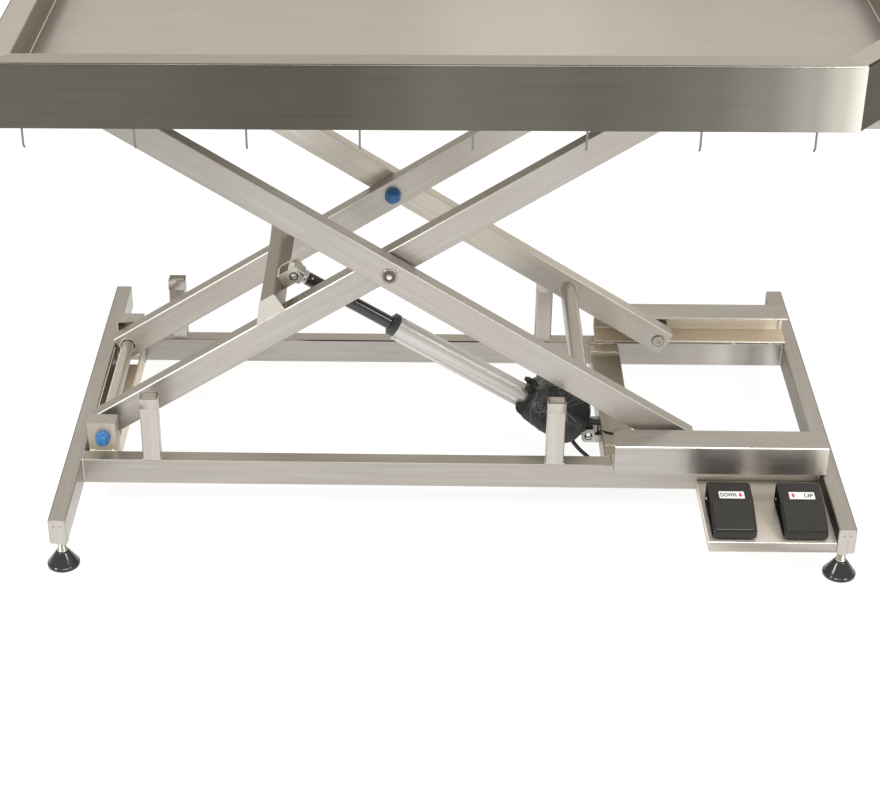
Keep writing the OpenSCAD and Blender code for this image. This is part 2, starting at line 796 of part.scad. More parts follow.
// Screw, nut and piston: the nut keeps clear of the gearbox at the lowest pose
nut_l = 14;
piston_x1 = gearbox_at - travel_in - nut_l - screw_d / 4;
rod_end_l = 20;
screw_x0 = rod_end_l + travel_in + screw_d / 4;
module lead_screw() {
    color(bright) on_actuator() bar_at(screw_x0, gearbox_at + bearing_l - seat_gap, screw_d);
}
module piston_tube() {
    color(black) on_actuator() difference() {
        bar_at(rod_end_l, piston_x1, piston_d);
        bar_at(rod_end_l - cut, piston_x1 + cut, piston_d - 2 * piston_wall);
    }
}
module drive_nut() {
    color(white) on_actuator() difference() {
        bar_at(piston_x1, piston_x1 + nut_l, tube_bore - 2 * seat_gap);
        bar_at(piston_x1 - cut, piston_x1 + nut_l + cut, screw_d + 2 * fit_gap);
    }
}
rod_eye_t = fork_gap - 2 * side_gap;
module rod_end() {
    color(bright) on_actuator() difference() {
        union() {
            along_y(piston_d, rod_eye_t);
            intersection() {
                bar_at(0, rod_end_l, rod_eye_t);
                translate([0, -rod_eye_t / 2, -piston_d / 2]) cube([rod_end_l, rod_eye_t, piston_d]);
            }
        }
        along_y(act_pin_d + 2 * fit_gap, rod_eye_t + 2 * cut);
    }
}

// Foot switches: a base plate with hinge cheeks, a contact block and a hinged cover
hinge_up = 18;
hinge_back = 16;
base_plate_t = 4;
cheek_t = 4;
cheek_w = 14;
switch_y1 = switch_y0 + switch_d;
hinge_y = switch_y1 - hinge_back;
cover_gap = 1;
cover_rise = 1;
base_in = switch_wall + cover_gap;
module switch_base(i) {
    color(black) translate([switch_x(i), 0, switch_z]) {
        translate([-switch_w / 2 + base_in, switch_y0 + base_in, 0])
            cube([switch_w - 2 * base_in, switch_d - 2 * base_in, base_plate_t]);
        for (s = [-1, 1]) translate([s * (switch_w / 2 - base_in - cheek_t / 2), hinge_y, 0])
            difference() {
                translate([-cheek_t / 2, -cheek_w / 2, 0])
                    cube([cheek_t, cheek_w, hinge_up + hinge_d]);
                translate([0, 0, hinge_up]) along_x(hinge_d, cheek_t + 2 * cut);
            }
    }
    color(bright) translate([switch_x(i), hinge_y, switch_z + hinge_up])
        along_x(hinge_d, switch_w + hinge_d / 2);
}
module foot_switch_bases() { for (i = [0, 1]) switch_base(i); }
contact = [20, 12, 16];
plunger_d = 3;
press_gap = 2;
contact_y = (switch_y0 + switch_y1) / 2;
slope_share = (contact_y - switch_y0 - switch_wall) / (switch_d - 2 * hinge_back - switch_wall);
cover_share = min(slope_share, 1);
cover_in = switch_front_h - switch_wall + cover_share * (switch_back_h - switch_front_h);
plunger_h = cover_in - base_plate_t - contact[2] - press_gap;
module foot_switch_contacts() {
    color([0.5, 0.1, 0.1]) for (i = [0, 1])
        translate([switch_x(i), contact_y, switch_z + base_plate_t]) {
            translate([-contact[0] / 2, -contact[1] / 2, 0]) cube(contact);
            translate([0, 0, contact[2]]) cylinder(d = plunger_d, h = plunger_h);
        }
}
module pedal(i) {
    g = switch_gap - switch_wall;
    color(black) translate([switch_x(i), 0, switch_z]) difference() {
        translate([-switch_w / 2, 0, 0]) rotate([90, 0, 90]) linear_extrude(switch_w) polygon([
            [switch_y0, g], [switch_y1, g + cover_rise], [switch_y1, switch_back_h],
            [hinge_y - hinge_back, switch_back_h], [switch_y0, switch_front_h]]);
        translate([-switch_w / 2 + switch_wall, 0, 0]) rotate([90, 0, 90])
            linear_extrude(switch_w - 2 * switch_wall) polygon([
                [switch_y0 + switch_wall, -cut], [switch_y1 - switch_wall, -cut],
                [switch_y1 - switch_wall, switch_back_h - switch_wall],
                [hinge_y - hinge_back, switch_back_h - switch_wall],
                [switch_y0 + switch_wall, switch_front_h - switch_wall]]);
        translate([0, hinge_y, hinge_up]) along_x(hinge_d + 2 * fit_gap, switch_w + 2 * cut);
    }
}
module down_pedal() { pedal(0); }
module up_pedal() { pedal(1); }

// Lead from the motor down behind the front rail and in through its inner face
lead_pts = [[171.1, -85, 72], [174.5, -85, 66], [179, -87, 60], [184, -92, 55.5],
            [189, -98, 53], [194, -106, 52.5], [198, -116, 54], [201, -128, 57.5],
            [203, -141, 62], [204, -154, 65.5], [204, -167, 66]];
grommet_d = 13;
grommet_t = 3;
lead_sides = 8;
function unit(v) = v / norm(v);
function tangent(p, i) = unit(p[min(i + 1, len(p) - 1)] - p[max(i - 1, 0)]);
function lead_ring(p, i) = let (t = tangent(p, i), u = unit(cross(t, [1, 0, 0])), v = cross(t, u))
    [for (k = [0 : lead_sides - 1]) let (a = 360 * k / lead_sides)
        p[i] + lead_d / 2 * (cos(a) * u + sin(a) * v)];
module sweep(p) {
    n = len(p);
    m = lead_sides;
    pts = [for (i = [0 : n - 1]) each lead_ring(p, i)];
    faces = concat(
        [[for (k = [0 : m - 1]) k]],
        [for (i = [0 : n - 2]) for (k = [0 : m - 1])
            [i * m + k, (i + 1) * m + k, (i + 1) * m + (k + 1) % m, i * m + (k + 1) % m]],
        [[for (k = [m - 1 : -1 : 0]) (n - 1) * m + k]]);
    polyhedron(points = pts, faces = faces);
}
module motor_lead() {
    color(black) {
        sweep(lead_pts);
        translate(lead_pts[len(lead_pts) - 1] + [0, grommet_t / 2, 0])
            along_y(grommet_d, grommet_t);
    }
}

base_left_tube();
base_right_tube();
front_rail();
rear_rail();
front_roller_channel();
rear_roller_channel();
pivot_blocks();
pivot_shaft();
shaft_caps();
shaft_trough();
rest_posts();
actuator_cross_member();
actuator_lugs();
pedal_shelf();
foot_nuts();
foot_switch_bases();
foot_switch_contacts();
motor_lead();
levelling_foot_front_left();
levelling_foot_front_right();
levelling_foot_rear_left();
levelling_foot_rear_right();
front_inner_arm();
rear_inner_arm();
arm_bushes();
arm_crossbar();
rod_bracket();
rod_pin();
upper_roller_shaft();
centre_bolts();
centre_cap_nuts();
front_outer_arm();
rear_outer_arm();
arm_brace_tube();
lower_roller_axles();
upper_pivot_pins();
front_lower_roller();
rear_lower_roller();
front_upper_roller();
rear_upper_roller();
tray_floor();
tray_front_side();
tray_rear_side();
tray_left_end();
tray_right_end();
tray_corners();
front_top_channel();
rear_top_channel();
top_cross_tubes();
tray_hooks();
actuator_tube();
tube_collar();
gearbox_housing();
motor_housing();
lead_screw();
piston_tube();
rod_end();
drive_nut();
down_pedal();
up_pedal();
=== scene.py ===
import json
import math
import random

import bmesh
import bpy
from mathutils import Matrix, Vector, noise
from mathutils.bvhtree import BVHTree


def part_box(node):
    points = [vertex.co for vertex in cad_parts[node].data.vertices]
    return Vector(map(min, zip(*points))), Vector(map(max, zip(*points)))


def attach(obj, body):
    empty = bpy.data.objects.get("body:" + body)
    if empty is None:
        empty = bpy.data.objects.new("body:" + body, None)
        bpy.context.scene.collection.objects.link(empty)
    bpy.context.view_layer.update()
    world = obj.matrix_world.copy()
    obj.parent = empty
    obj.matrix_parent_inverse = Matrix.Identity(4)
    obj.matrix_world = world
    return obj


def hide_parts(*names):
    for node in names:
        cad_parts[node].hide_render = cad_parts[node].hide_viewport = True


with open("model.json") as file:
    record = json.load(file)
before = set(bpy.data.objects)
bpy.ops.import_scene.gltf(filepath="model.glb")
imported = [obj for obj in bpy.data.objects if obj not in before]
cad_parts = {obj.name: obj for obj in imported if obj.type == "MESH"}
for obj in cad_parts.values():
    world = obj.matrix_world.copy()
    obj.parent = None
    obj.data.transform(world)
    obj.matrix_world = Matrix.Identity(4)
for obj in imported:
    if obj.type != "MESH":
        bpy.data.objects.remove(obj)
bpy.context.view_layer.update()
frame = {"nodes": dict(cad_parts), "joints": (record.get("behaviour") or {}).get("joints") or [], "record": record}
NODES = frame["nodes"]
BODY_OF = {n: b for b, ns in frame["record"]["behaviour"]["bodies"].items() for n in ns}
JOINTS = {j["name"]: j for j in frame["joints"]}
# Lengths are in metres unless a comment or a docstring says mm
MM = 0.001
X_AXIS, Y_AXIS, Z_AXIS = Vector((1, 0, 0)), Vector((0, 1, 0)), Vector((0, 0, 1))
# Cosines from which a line counts as parallel to an axis, and a face as facing it
PARALLEL, FACING = 0.99, 0.9
# Angles in degrees from which an edge counts as sharp on a built form and on a CAD piece
SHARP, CAD_SHARP = 35, 40


# Sizes read from the frame
def low(node):
    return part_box(node)[0]


def high(node):
    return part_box(node)[1]


def middle(node):
    return (low(node) + high(node)) / 2


def pivot(name):
    return Vector(JOINTS[name]["pos_m"])


def mm(value):
    return value / MM


LIFT_PIVOT = pivot("scissor_lift")
CROSS = pivot("arm_cross")
ARM_DIR = (CROSS - LIFT_PIVOT).normalized()
ARM_UP = Vector((-ARM_DIR.z, 0, ARM_DIR.x))
OUTER_DIR = Vector((ARM_DIR.x, 0, -ARM_DIR.z))
ROD = pivot("rod_pivot")

# The actuator's own axes: along it from the rod pin to the gearbox, and above it
ACT_DIR = Vector(JOINTS["actuator_stroke"]["axis"]).normalized()
if (middle("gearbox_housing") - ROD).dot(ACT_DIR) < 0:
    ACT_DIR = -ACT_DIR
ACT_UP = Vector((-ACT_DIR.z, 0, ACT_DIR.x))

# Distances to the faces of the arms, rails and posts from the middle plane, and heights, in mm
OUTER_IN, OUTER_OUT = -mm(high("front_outer_arm").y), -mm(low("front_outer_arm").y)
INNER_IN, INNER_OUT = -mm(high("front_inner_arm").y), -mm(low("front_inner_arm").y)
RAIL_OUT, RAIL_IN = -mm(low("front_rail").y), -mm(high("front_rail").y)
BASE_Z, BASE_TOP = mm(low("front_rail").z), mm(high("front_rail").z)
RIM_W = mm(low("tray_floor").x) - mm(low("tray_left_end").x)

# Camera at the photograph's place: yaw, pitch and roll in radians, focal length in pixels
VIEW_W, VIEW_H = 880, 800
CAM_AT = Vector((-0.0442, -2.5652, 1.6189))
CAM_YAW, CAM_PITCH, CAM_ROLL = -0.0393, 0.5436, -0.0104
CAM_F, CAM_CX, CAM_CY = 1961.4, 357.8, 405.7
SENSOR = 36.0
FAR = 60


def add_object(name, data):
    o = bpy.data.objects.new(name, data)
    bpy.context.scene.collection.objects.link(o)
    return o


def make_camera():
    forward = Vector((math.sin(CAM_YAW) * math.cos(CAM_PITCH),
                      math.cos(CAM_YAW) * math.cos(CAM_PITCH), -math.sin(CAM_PITCH)))
    level = Vector((math.cos(CAM_YAW), -math.sin(CAM_YAW), 0))
    upright = level.cross(forward)
    right = level * math.cos(CAM_ROLL) + upright * math.sin(CAM_ROLL)
    up = upright * math.cos(CAM_ROLL) - level * math.sin(CAM_ROLL)
    cam = bpy.data.cameras.new("camera")
    cam.sensor_fit = "HORIZONTAL"
    cam.sensor_width = SENSOR
    cam.lens = CAM_F * SENSOR / VIEW_W
    cam.shift_x = (VIEW_W / 2 - CAM_CX) / VIEW_W
    cam.shift_y = (CAM_CY - VIEW_H / 2) / VIEW_W
    cam.clip_end = FAR
    m = Matrix((right, up, -forward)).transposed().to_4x4()
    m.translation = CAM_AT
    o = add_object("camera", cam)
    o.matrix_world = m
    bpy.context.scene.camera = o


def rgb(r, g, b):
    return (r, g, b, 1)


def scaled(tone, share):
    return rgb(*(min(1, c * share) for c in tone))


def set_stops(ramp, stops):
    """Gives a colour ramp its places and colours."""
    points = ramp.color_ramp.elements
    while len(points) < len(stops):
        points.new(0.5)
    for e, (at, colour) in zip(points, stops):
        e.position, e.color = at, colour


class Graph:
    """Short calls for making one material's nodes. The slot argument is not used."""

    def __init__(self, name, slot=None):
        self.mat = bpy.data.materials.new(name)
        self.mat.use_nodes = True
        self.tree = self.mat.node_tree
        self.tree.nodes.clear()
        self.bsdf = self.node("ShaderNodeBsdfPrincipled")
        self.node("ShaderNodeOutputMaterial", {0: self.bsdf.outputs[0]})

    def node(self, kind, inputs=None, **settings):
        """A node with its inputs, each linked to an output or set to a plain value."""
        n = self.tree.nodes.new(kind)
        for k, v in settings.items():
            setattr(n, k, v)
        for k, v in (inputs or {}).items():
            self.feed(n.inputs[k], v)
        return n

    def feed(self, socket, value):
        if hasattr(value, "is_linked"):
            self.tree.links.new(value, socket)
        else:
            socket.default_value = value

    def put(self, **values):
        """Sets the shader's own sockets, named with _ for each space."""
        for name, value in values.items():
            self.feed(self.bsdf.inputs[name.replace("_", " ")], value)

    def grain(self, scale):
        """The piece's own lengthways coordinates, scaled."""
        at = self.node("ShaderNodeAttribute", attribute_name="grain")
        return self.node("ShaderNodeMapping", {"Vector": at.outputs["Vector"], "Scale": scale}).outputs[0]

    def place(self, scale=(1, 1, 1)):
        co = self.node("ShaderNodeTexCoord")
        return self.node("ShaderNodeMapping", {"Vector": co.outputs["Object"], "Scale": scale}).outputs[0]

    def noise(self, where, scale=1.0, detail=2.0, rough=0.5):
        return self.node("ShaderNodeTexNoise", {"Vector": where, "Scale": scale, "Detail": detail,
                                                "Roughness": rough}).outputs["Fac"]

    def remap(self, value, a, b, c, d):
        return self.node("ShaderNodeMapRange", {0: value, 1: a, 2: b, 3: c, 4: d}).outputs[0]

    def along(self, axis, stops):
        """A share that follows one of the piece's own axes in steps of (place in metres, share)."""
        split = self.node("ShaderNodeSeparateXYZ", {0: self.place()})
        at, lo, hi = split.outputs["XYZ".index(axis)], stops[0][0], stops[-1][0]
        ramp = self.node("ShaderNodeValToRGB", {0: self.remap(at, lo, hi, 0, 1)})
        ramp.color_ramp.interpolation = "EASE"
        set_stops(ramp, [((x - lo) / (hi - lo), rgb(share, share, share)) for x, share in stops])
        return ramp.outputs[0]

    def math(self, op, a, b):
        return self.node("ShaderNodeMath", {0: a, 1: b}, operation=op).outputs[0]

    def mix(self, fac, a, b):
        return self.node("ShaderNodeMix", {0: fac, 6: a, 7: b}, data_type="RGBA").outputs[2]

    def bump(self, height, strength, distance):
        n = self.node("ShaderNodeBump", {"Strength": strength, "Distance": distance, "Height": height})
        self.put(Normal=n.outputs[0])


FINE = 0.2 * MM
PIT_TONE = (0.16, 0.14, 0.12)


def brushed_steel(name, tone, rough=0.33, streak=0.10, pits=0.0, metal=0.85, shine=0.5, ramps=(),
                  slot="brushed_stainless"):
    """Satin stainless: fine lines along the grain, slow clouds of tone, and a few dark pits.
    Each ramp blends to an end tone along one of the piece's axes; the ramps paint shade, light and reflections
    along the piece."""
    g = Graph(name, slot)
    lines = g.noise(g.grain((14, 1100, 1100)), 1, 3, 0.6)
    streaks = g.noise(g.grain((5, 170, 170)), 1, 2, 0.5)
    clouds = g.noise(g.grain((9, 16, 16)), 1, 3, 0.55)
    dark, light = scaled(tone, 1 - streak), scaled(tone, 1 + streak * 0.7)
    colour = g.mix(g.remap(streaks, 0.3, 0.7, 0, 1), dark, light)
    warm = rgb(tone[0], tone[1] * 0.975, tone[2] * 0.93)
    colour = g.mix(g.remap(clouds, 0.35, 0.75, 0, 0.7), colour, warm)
    for axis, stops, end_tone in ramps:
        colour = g.mix(g.along(axis, stops), colour, rgb(*end_tone))
    if pits:
        cells = g.node("ShaderNodeTexVoronoi", {"Vector": g.grain((160, 320, 320)), "Scale": 1})
        patch = g.noise(g.grain((11, 30, 30)), 1, 1, 0.5)
        dots = g.math("MULTIPLY", g.remap(cells.outputs["Distance"], 0.06, 0.16, 1, 0),
                      g.remap(patch, 0.56, 0.62, 0, 1))
        colour = g.mix(g.math("MULTIPLY", dots, pits), colour, rgb(*PIT_TONE))
    g.put(Base_Color=colour, Metallic=metal, Specular_IOR_Level=shine,
          Roughness=g.math("ADD", g.remap(lines, 0.3, 0.7, rough - 0.05, rough + 0.05),
                           g.remap(clouds, 0.3, 0.7, -0.04, 0.05)))
    g.bump(lines, 0.10, FINE)
    return g.mat


def plated_steel(name, tone, rough=0.2):
    g = Graph(name, "bright_steel")
    marks = g.noise(g.place(), 140, 3, 0.6)
    g.put(Base_Color=g.mix(marks, scaled(tone, 0.86), rgb(*tone)), Metallic=1.0,
          Roughness=g.remap(marks, 0.3, 0.7, rough - 0.05, rough + 0.1))
    g.bump(g.noise(g.place(), 900, 2), 0.05, FINE)
    return g.mat


def moulded_plastic(name, tone, rough, grain=0.12, scale=1400, coat=0.0, shine=0.5, slot="black_plastic"):
    g = Graph(name, slot)
    cloud = g.noise(g.place(), 22, 3, 0.6)
    g.put(Base_Color=g.mix(cloud, scaled(tone, 0.8), scaled(tone, 1.25)), Specular_IOR_Level=shine,
          Roughness=g.remap(cloud, 0.3, 0.7, rough - 0.05, rough + 0.08), Coat_Weight=coat)
    g.bump(g.noise(g.place(), scale, 2), grain, FINE)
    return g.mat


def crinkled_cover(name, tone):
    """Thin glossy plastic pulled tight: its sharpest creases are painted light grey, a painted highlight."""
    g = Graph(name, "black_plastic")
    cloud = g.noise(g.place(), 22, 3, 0.6)
    crease = g.node("ShaderNodeAttribute", attribute_name="crease").outputs["Fac"]
    g.put(Base_Color=g.mix(crease, g.mix(cloud, scaled(tone, 0.7), scaled(tone, 1.4)), rgb(0.42, 0.42, 0.41)),
          Roughness=g.remap(cloud, 0.3, 0.7, 0.20, 0.32), Specular_IOR_Level=0.35, Coat_Weight=0.25,
          Coat_Roughness=0.10)
    folds = g.math("ABSOLUTE", g.math("SUBTRACT", g.noise(g.place((1, 1, 0.45)), 40, 2, 0.5), 0.5), 0)
    g.bump(folds, 0.5, 4 * MM)
    return g.mat


def weld_metal(name):
    """A ground weld bead: bright and faintly heat-tinted in patches."""
    g = Graph(name, "brushed_stainless")
    patch = g.noise(g.place(), 160, 3, 0.6)
    g.put(Base_Color=g.mix(g.remap(patch, 0.3, 0.7, 0, 1), rgb(0.86, 0.83, 0.78), rgb(0.50, 0.44, 0.36)),
          Metallic=0.9, Roughness=g.remap(patch, 0.3, 0.7, 0.25, 0.45))
    g.bump(g.noise(g.place(), 1500, 3), 0.3, 0.3 * MM)
    return g.mat


STEEL_TONE, RAIL_TONE = (0.46, 0.434, 0.405), (0.43, 0.404, 0.375)
# End tones for the ramps: painted light, painted shade, and a deeper painted shade
LIGHT_TONE, SHADE_TONE, DEEP_SHADE_TONE = (0.88, 0.85, 0.79), (0.24, 0.225, 0.20), (0.035, 0.028, 0.023)
steel = brushed_steel("brushed_steel", STEEL_TONE)
# Front outer arm: painted shade along X, darkest at its left end behind the pivot blocks
front_arm_shaded_steel = brushed_steel("front_arm_shaded_steel", STEEL_TONE, ramps=[
    ("X", [(-0.53, 0.5), (-0.38, 0.34), (-0.2, 0.0), (0.05, 0.06), (0.345, 0.12)], SHADE_TONE)])
# Rear inner arm: a lighter, less metallic copy of the steel, painted light where the arm would look shaded
rear_lit_steel = brushed_steel("rear_lit_steel", (0.54, 0.51, 0.475), metal=0.6)
# Rear outer arm: a lighter copy of the steel (painted light) that fades to painted shade toward its right end
rear_outer_lit_shaded_steel = brushed_steel("rear_outer_lit_shaded_steel", (0.69, 0.65, 0.59), metal=0.55, ramps=[
    ("X", [(-0.53, 0.0), (0.05, 0.0), (0.12, 0.12), (0.20, 0.12), (0.25, 0.28), (0.30, 0.48),
           (0.345, 0.48)], SHADE_TONE)])
# Tops of the inner arms: a darker copy of the steel, painted shade
arm_top_shade_steel = brushed_steel("arm_top_shade_steel", (0.34, 0.318, 0.285))
rail_steel = brushed_steel("rail_steel", RAIL_TONE, pits=0.8)
# Top faces of the rails: a darker, warmer copy, painted shade
rail_top_shade_steel = brushed_steel("rail_top_shade_steel", (0.40, 0.372, 0.328), pits=0.5)
post_steel = brushed_steel("post_steel", (0.53, 0.50, 0.465))
# Near-white copy for rounded edges that face up and front, and for folds and fillets: painted highlight
highlight_steel = brushed_steel("highlight_steel", (0.84, 0.81, 0.76), rough=0.24, streak=0.03, metal=0.7)
# Near-white, low-metal copy for the arms' lit edges and the channel folds: painted highlight
arm_highlight_steel = brushed_steel("arm_highlight_steel", (0.86, 0.84, 0.80), rough=0.3, streak=0.02, metal=0.2)
# Front rail's lit edge: a darker, rougher copy, painted shade that damps its highlight
rail_edge_shade_steel = brushed_steel("rail_edge_shade_steel", (0.40, 0.375, 0.34), rough=0.6)
# Rear rail: painted shade in patches along X, and painted light in two narrow bands near the right end
rear_rail_lit_shaded_steel = brushed_steel("rear_rail_lit_shaded_steel", RAIL_TONE, pits=0.8, ramps=[
    ("X", [(-0.537, 0.3), (-0.32, 0.25), (-0.26, 0.0), (0.23, 0.0), (0.25, 0.3), (0.345, 0.28),
           (0.37, 0.05), (0.43, 0.0), (0.46, 0.2), (0.477, 0.7), (0.492, 0.3), (0.507, 0.0),
           (0.523, 0.2)], SHADE_TONE),
    ("X", [(0.39, 0.0), (0.43, 0.25), (0.455, 0.0), (0.49, 0.0), (0.507, 0.3), (0.523, 0.0)], LIGHT_TONE)])
# Rear rail's lit edge: a painted dark line of shade over its middle stretch
rear_edge_shade_steel = brushed_steel("rear_edge_shade_steel", (0.40, 0.375, 0.345), rough=0.5, ramps=[
    ("X", [(-0.537, 0.0), (-0.25, 0.0), (-0.225, 0.95), (0.12, 0.95), (0.16, 0.0), (0.523, 0.0)], DEEP_SHADE_TONE)])
# Pivot blocks' front faces: a lighter, warmer copy, painted light
block_lit_steel = brushed_steel("block_lit_steel", (0.60, 0.54, 0.46), rough=0.4, streak=0.12)
shade_steel = brushed_steel("shade_steel", (0.13, 0.105, 0.085), rough=0.4, metal=0.6)
# Inner side of the right base tube: painted shadow, darkest next to the shelf at the front
tube_side_shadow_steel = brushed_steel("tube_side_shadow_steel", (0.30, 0.275, 0.24), rough=0.5, metal=0.35, shine=0.1,
    ramps=[("Y", [(-0.347, 1.0), (-0.25, 0.97), (-0.205, 0.85), (-0.165, 0.35), (0.347, 0.0)], DEEP_SHADE_TONE)])
# Front and rear rims: a darker copy with a painted light sheen toward the right end
rim_sheen_steel = brushed_steel("rim_sheen_steel", (0.385, 0.358, 0.33), rough=0.32, streak=0.04, ramps=[
    ("X", [(-0.6, 0.0), (0.1, 0.0), (0.5, 0.15)], LIGHT_TONE)])
# End and corner rims: a lighter copy, painted light
rim_side_lit_steel = brushed_steel("rim_side_lit_steel", (0.51, 0.475, 0.445), rough=0.32, streak=0.04)
# Tray floor: a painted light patch in the middle and painted shade at both ends by the walls
tray_sheen_shade_steel = brushed_steel("tray_sheen_shade_steel", (0.49, 0.466, 0.440), rough=0.32, streak=0.04, ramps=[
    ("X", [(-0.1, 0.0), (0.04, 0.5), (0.13, 0.55), (0.22, 0.25), (0.32, 0.0)], (0.66, 0.635, 0.58)),
    ("X", [(-0.566, 0.85), (-0.553, 0.6), (-0.538, 0.0), (0.535, 0.0), (0.553, 0.3), (0.566, 0.6)],
     (0.24, 0.205, 0.165))])
# Front and rear skirts: a dark tone that stands in for a dark reflection, brightening to a painted reflection of
# light at the right end
skirt_reflection_steel = brushed_steel("skirt_reflection_steel", (0.095, 0.085, 0.071), rough=0.30, streak=0.10, metal=0.95, ramps=[
    ("X", [(-0.6, 0.03), (-0.42, 0.022), (-0.23, 0.0), (-0.16, 0.0), (-0.10, 0.025), (-0.03, 0.06),
           (0.1, 0.045), (0.16, 0.028), (0.23, 0.045), (0.30, 0.075), (0.37, 0.15), (0.43, 0.32),
           (0.465, 0.56), (0.49, 0.95)], (0.86, 0.83, 0.74))])
# Clipped corners: dark brown, a painted reflection
clip_reflection_steel = brushed_steel("clip_reflection_steel", (0.070, 0.056, 0.043), rough=0.4, streak=0.06, metal=1.0)
# Skirts at the ends: dark, painted shade
end_shade_steel = brushed_steel("end_shade_steel", (0.17, 0.155, 0.135), rough=0.34, streak=0.1, metal=0.9)
# Tray's inner walls: darker, painted shade
wall_shade_steel = brushed_steel("wall_shade_steel", (0.25, 0.225, 0.195), rough=0.36, streak=0.06)
# Arm crossbar: a darker copy (painted shade), with a lighter copy on its faces to front and back (painted light)
crossbar_shade_steel = brushed_steel("crossbar_shade_steel", (0.31, 0.275, 0.23), rough=0.36, streak=0.06)
crossbar_lit_steel = brushed_steel("crossbar_lit_steel", (0.56, 0.53, 0.485), rough=0.38, streak=0.05, metal=0.6)
# Actuator cross member: a darker copy, painted shade, with a painted golden sheen near its rear end
member_shade_sheen_steel = brushed_steel("member_shade_sheen_steel", (0.34, 0.305, 0.25), rough=0.36, streak=0.06, ramps=[
    ("Y", [(-0.167, 0.1), (-0.06, 0.0), (0.125, 0.0), (0.137, 0.75), (0.167, 0.5)], (0.80, 0.72, 0.58))])
# Inside of the roller channels: a pale cream, low-metal copy that paints the light they reflect, with painted
# shade toward the left
channel_inner_sheen_shade_steel = brushed_steel("channel_inner_sheen_shade_steel", (0.95, 0.885, 0.79), rough=0.42, streak=0.05, metal=0.12, ramps=[
    ("X", [(0.20, 0.75), (0.30, 0.6), (0.35, 0.1), (0.527, 0.0)], (0.40, 0.34, 0.27))])
# Shaft trough: golden tone, a painted reflection
trough_reflection_steel = brushed_steel("trough_reflection_steel", (0.72, 0.63, 0.49), rough=0.4, streak=0.06, metal=0.3)
# Lower flange inside the rear roller channel: golden tone, a painted reflection
flange_reflection_steel = brushed_steel("flange_reflection_steel", (0.66, 0.58, 0.46), rough=0.4, streak=0.05, metal=0.3)
# Front face of the front roller channel: painted dark reflections of the pedals in patches along X, and painted
# light at the right end
channel_pedal_reflection_steel = brushed_steel("channel_pedal_reflection_steel", STEEL_TONE, rough=0.3, ramps=[
    ("X", [(0.227, 0.05), (0.31, 0.06), (0.325, 0.15), (0.338, 0.6), (0.347, 0.74), (0.358, 0.5),
           (0.368, 0.38), (0.389, 0.32), (0.402, 0.18), (0.415, 0.14), (0.431, 0.36), (0.452, 0.18),
           (0.473, 0.08), (0.495, 0.05), (0.505, 0.0), (0.51, 0.0), (0.527, 0.0)], (0.17, 0.165, 0.155)),
    ("X", [(0.49, 0.0), (0.505, 0.2), (0.516, 0.8), (0.527, 1.0)], LIGHT_TONE)])
# Pedal shelf's top: a lighter, less metallic copy, painted light; its front faces take the darker rail steel
shelf_lit_steel = brushed_steel("shelf_lit_steel", (0.76, 0.71, 0.635), rough=0.34, streak=0.05, metal=0.55)
turned = brushed_steel("turned_steel", (0.56, 0.53, 0.48), rough=0.25, streak=0.08)
brace_steel = brushed_steel("brace_steel", (0.42, 0.395, 0.36), rough=0.25, streak=0.08)
aluminium = brushed_steel("satin_aluminium", (0.65, 0.645, 0.63), rough=0.40, streak=0.02, metal=0.75,
                          slot="satin_aluminium")
weld_steel = weld_metal("weld_steel")
bright = plated_steel("plated_steel", (0.62, 0.60, 0.55))
wire = plated_steel("hook_wire", (0.24, 0.24, 0.22), rough=0.3)
lug_zinc = plated_steel("lug_zinc", (0.56, 0.53, 0.47), rough=0.35)
pin_steel = plated_steel("pin_steel", (0.42, 0.39, 0.34), rough=0.22)
zinc = plated_steel("zinc_plate", (0.70, 0.67, 0.60), rough=0.3)
chrome = plated_steel("chrome", (0.80, 0.80, 0.79), rough=0.10)
black = moulded_plastic("black_plastic", (0.027, 0.0265, 0.024), 0.40, shine=0.25)
wrap = crinkled_cover("cover_plastic", (0.018, 0.0195, 0.021))
# Grey for the cover's crease strands: painted highlight
crease_highlight_grey = moulded_plastic("crease_highlight_grey", (0.26, 0.26, 0.255), 0.3, grain=0.05)
gloss = moulded_plastic("gloss_black", (0.010, 0.010, 0.011), 0.16, grain=0.03, coat=0.3,
                        slot="gloss_black_plastic")
# Pedals' left sides: darker and without gloss, painted shade
side_shade_black = moulded_plastic("side_shade_black", (0.012, 0.012, 0.0115), 0.8, shine=0.0)
tread = moulded_plastic("tread_plastic", (0.033, 0.0315, 0.0275), 0.46, grain=0.3, scale=900, shine=0.25)
piston_black = moulded_plastic("piston_black", (0.014, 0.015, 0.018), 0.10, grain=0.01, coat=0.8)
collar_grey = moulded_plastic("collar_grey", (0.045, 0.047, 0.052), 0.30, grain=0.05)
# Grey for the cover's seam: painted highlight on a glossy ridge
seam_highlight_grey = moulded_plastic("seam_highlight_grey", (0.10, 0.10, 0.10), 0.35, grain=0.05)
blue = moulded_plastic("blue_plastic", (0.006, 0.120, 0.33), 0.26, grain=0.03, coat=0.3, slot="blue_plastic")
nylon = moulded_plastic("black_nylon", (0.02, 0.02, 0.022), 0.45, slot="black_nylon")
white = moulded_plastic("white_plastic", (0.82, 0.82, 0.79), 0.45, slot="white_plastic")
rubber = moulded_plastic("rubber", (0.016, 0.016, 0.017), 0.6, slot="black_rubber")
label_white = moulded_plastic("label_white", (0.86, 0.86, 0.84), 0.4, grain=0.01)
ink_black = moulded_plastic("ink_black", (0.01, 0.01, 0.011), 0.5, grain=0.01)
ink_red = moulded_plastic("ink_red", (0.62, 0.02, 0.02), 0.5, grain=0.01)


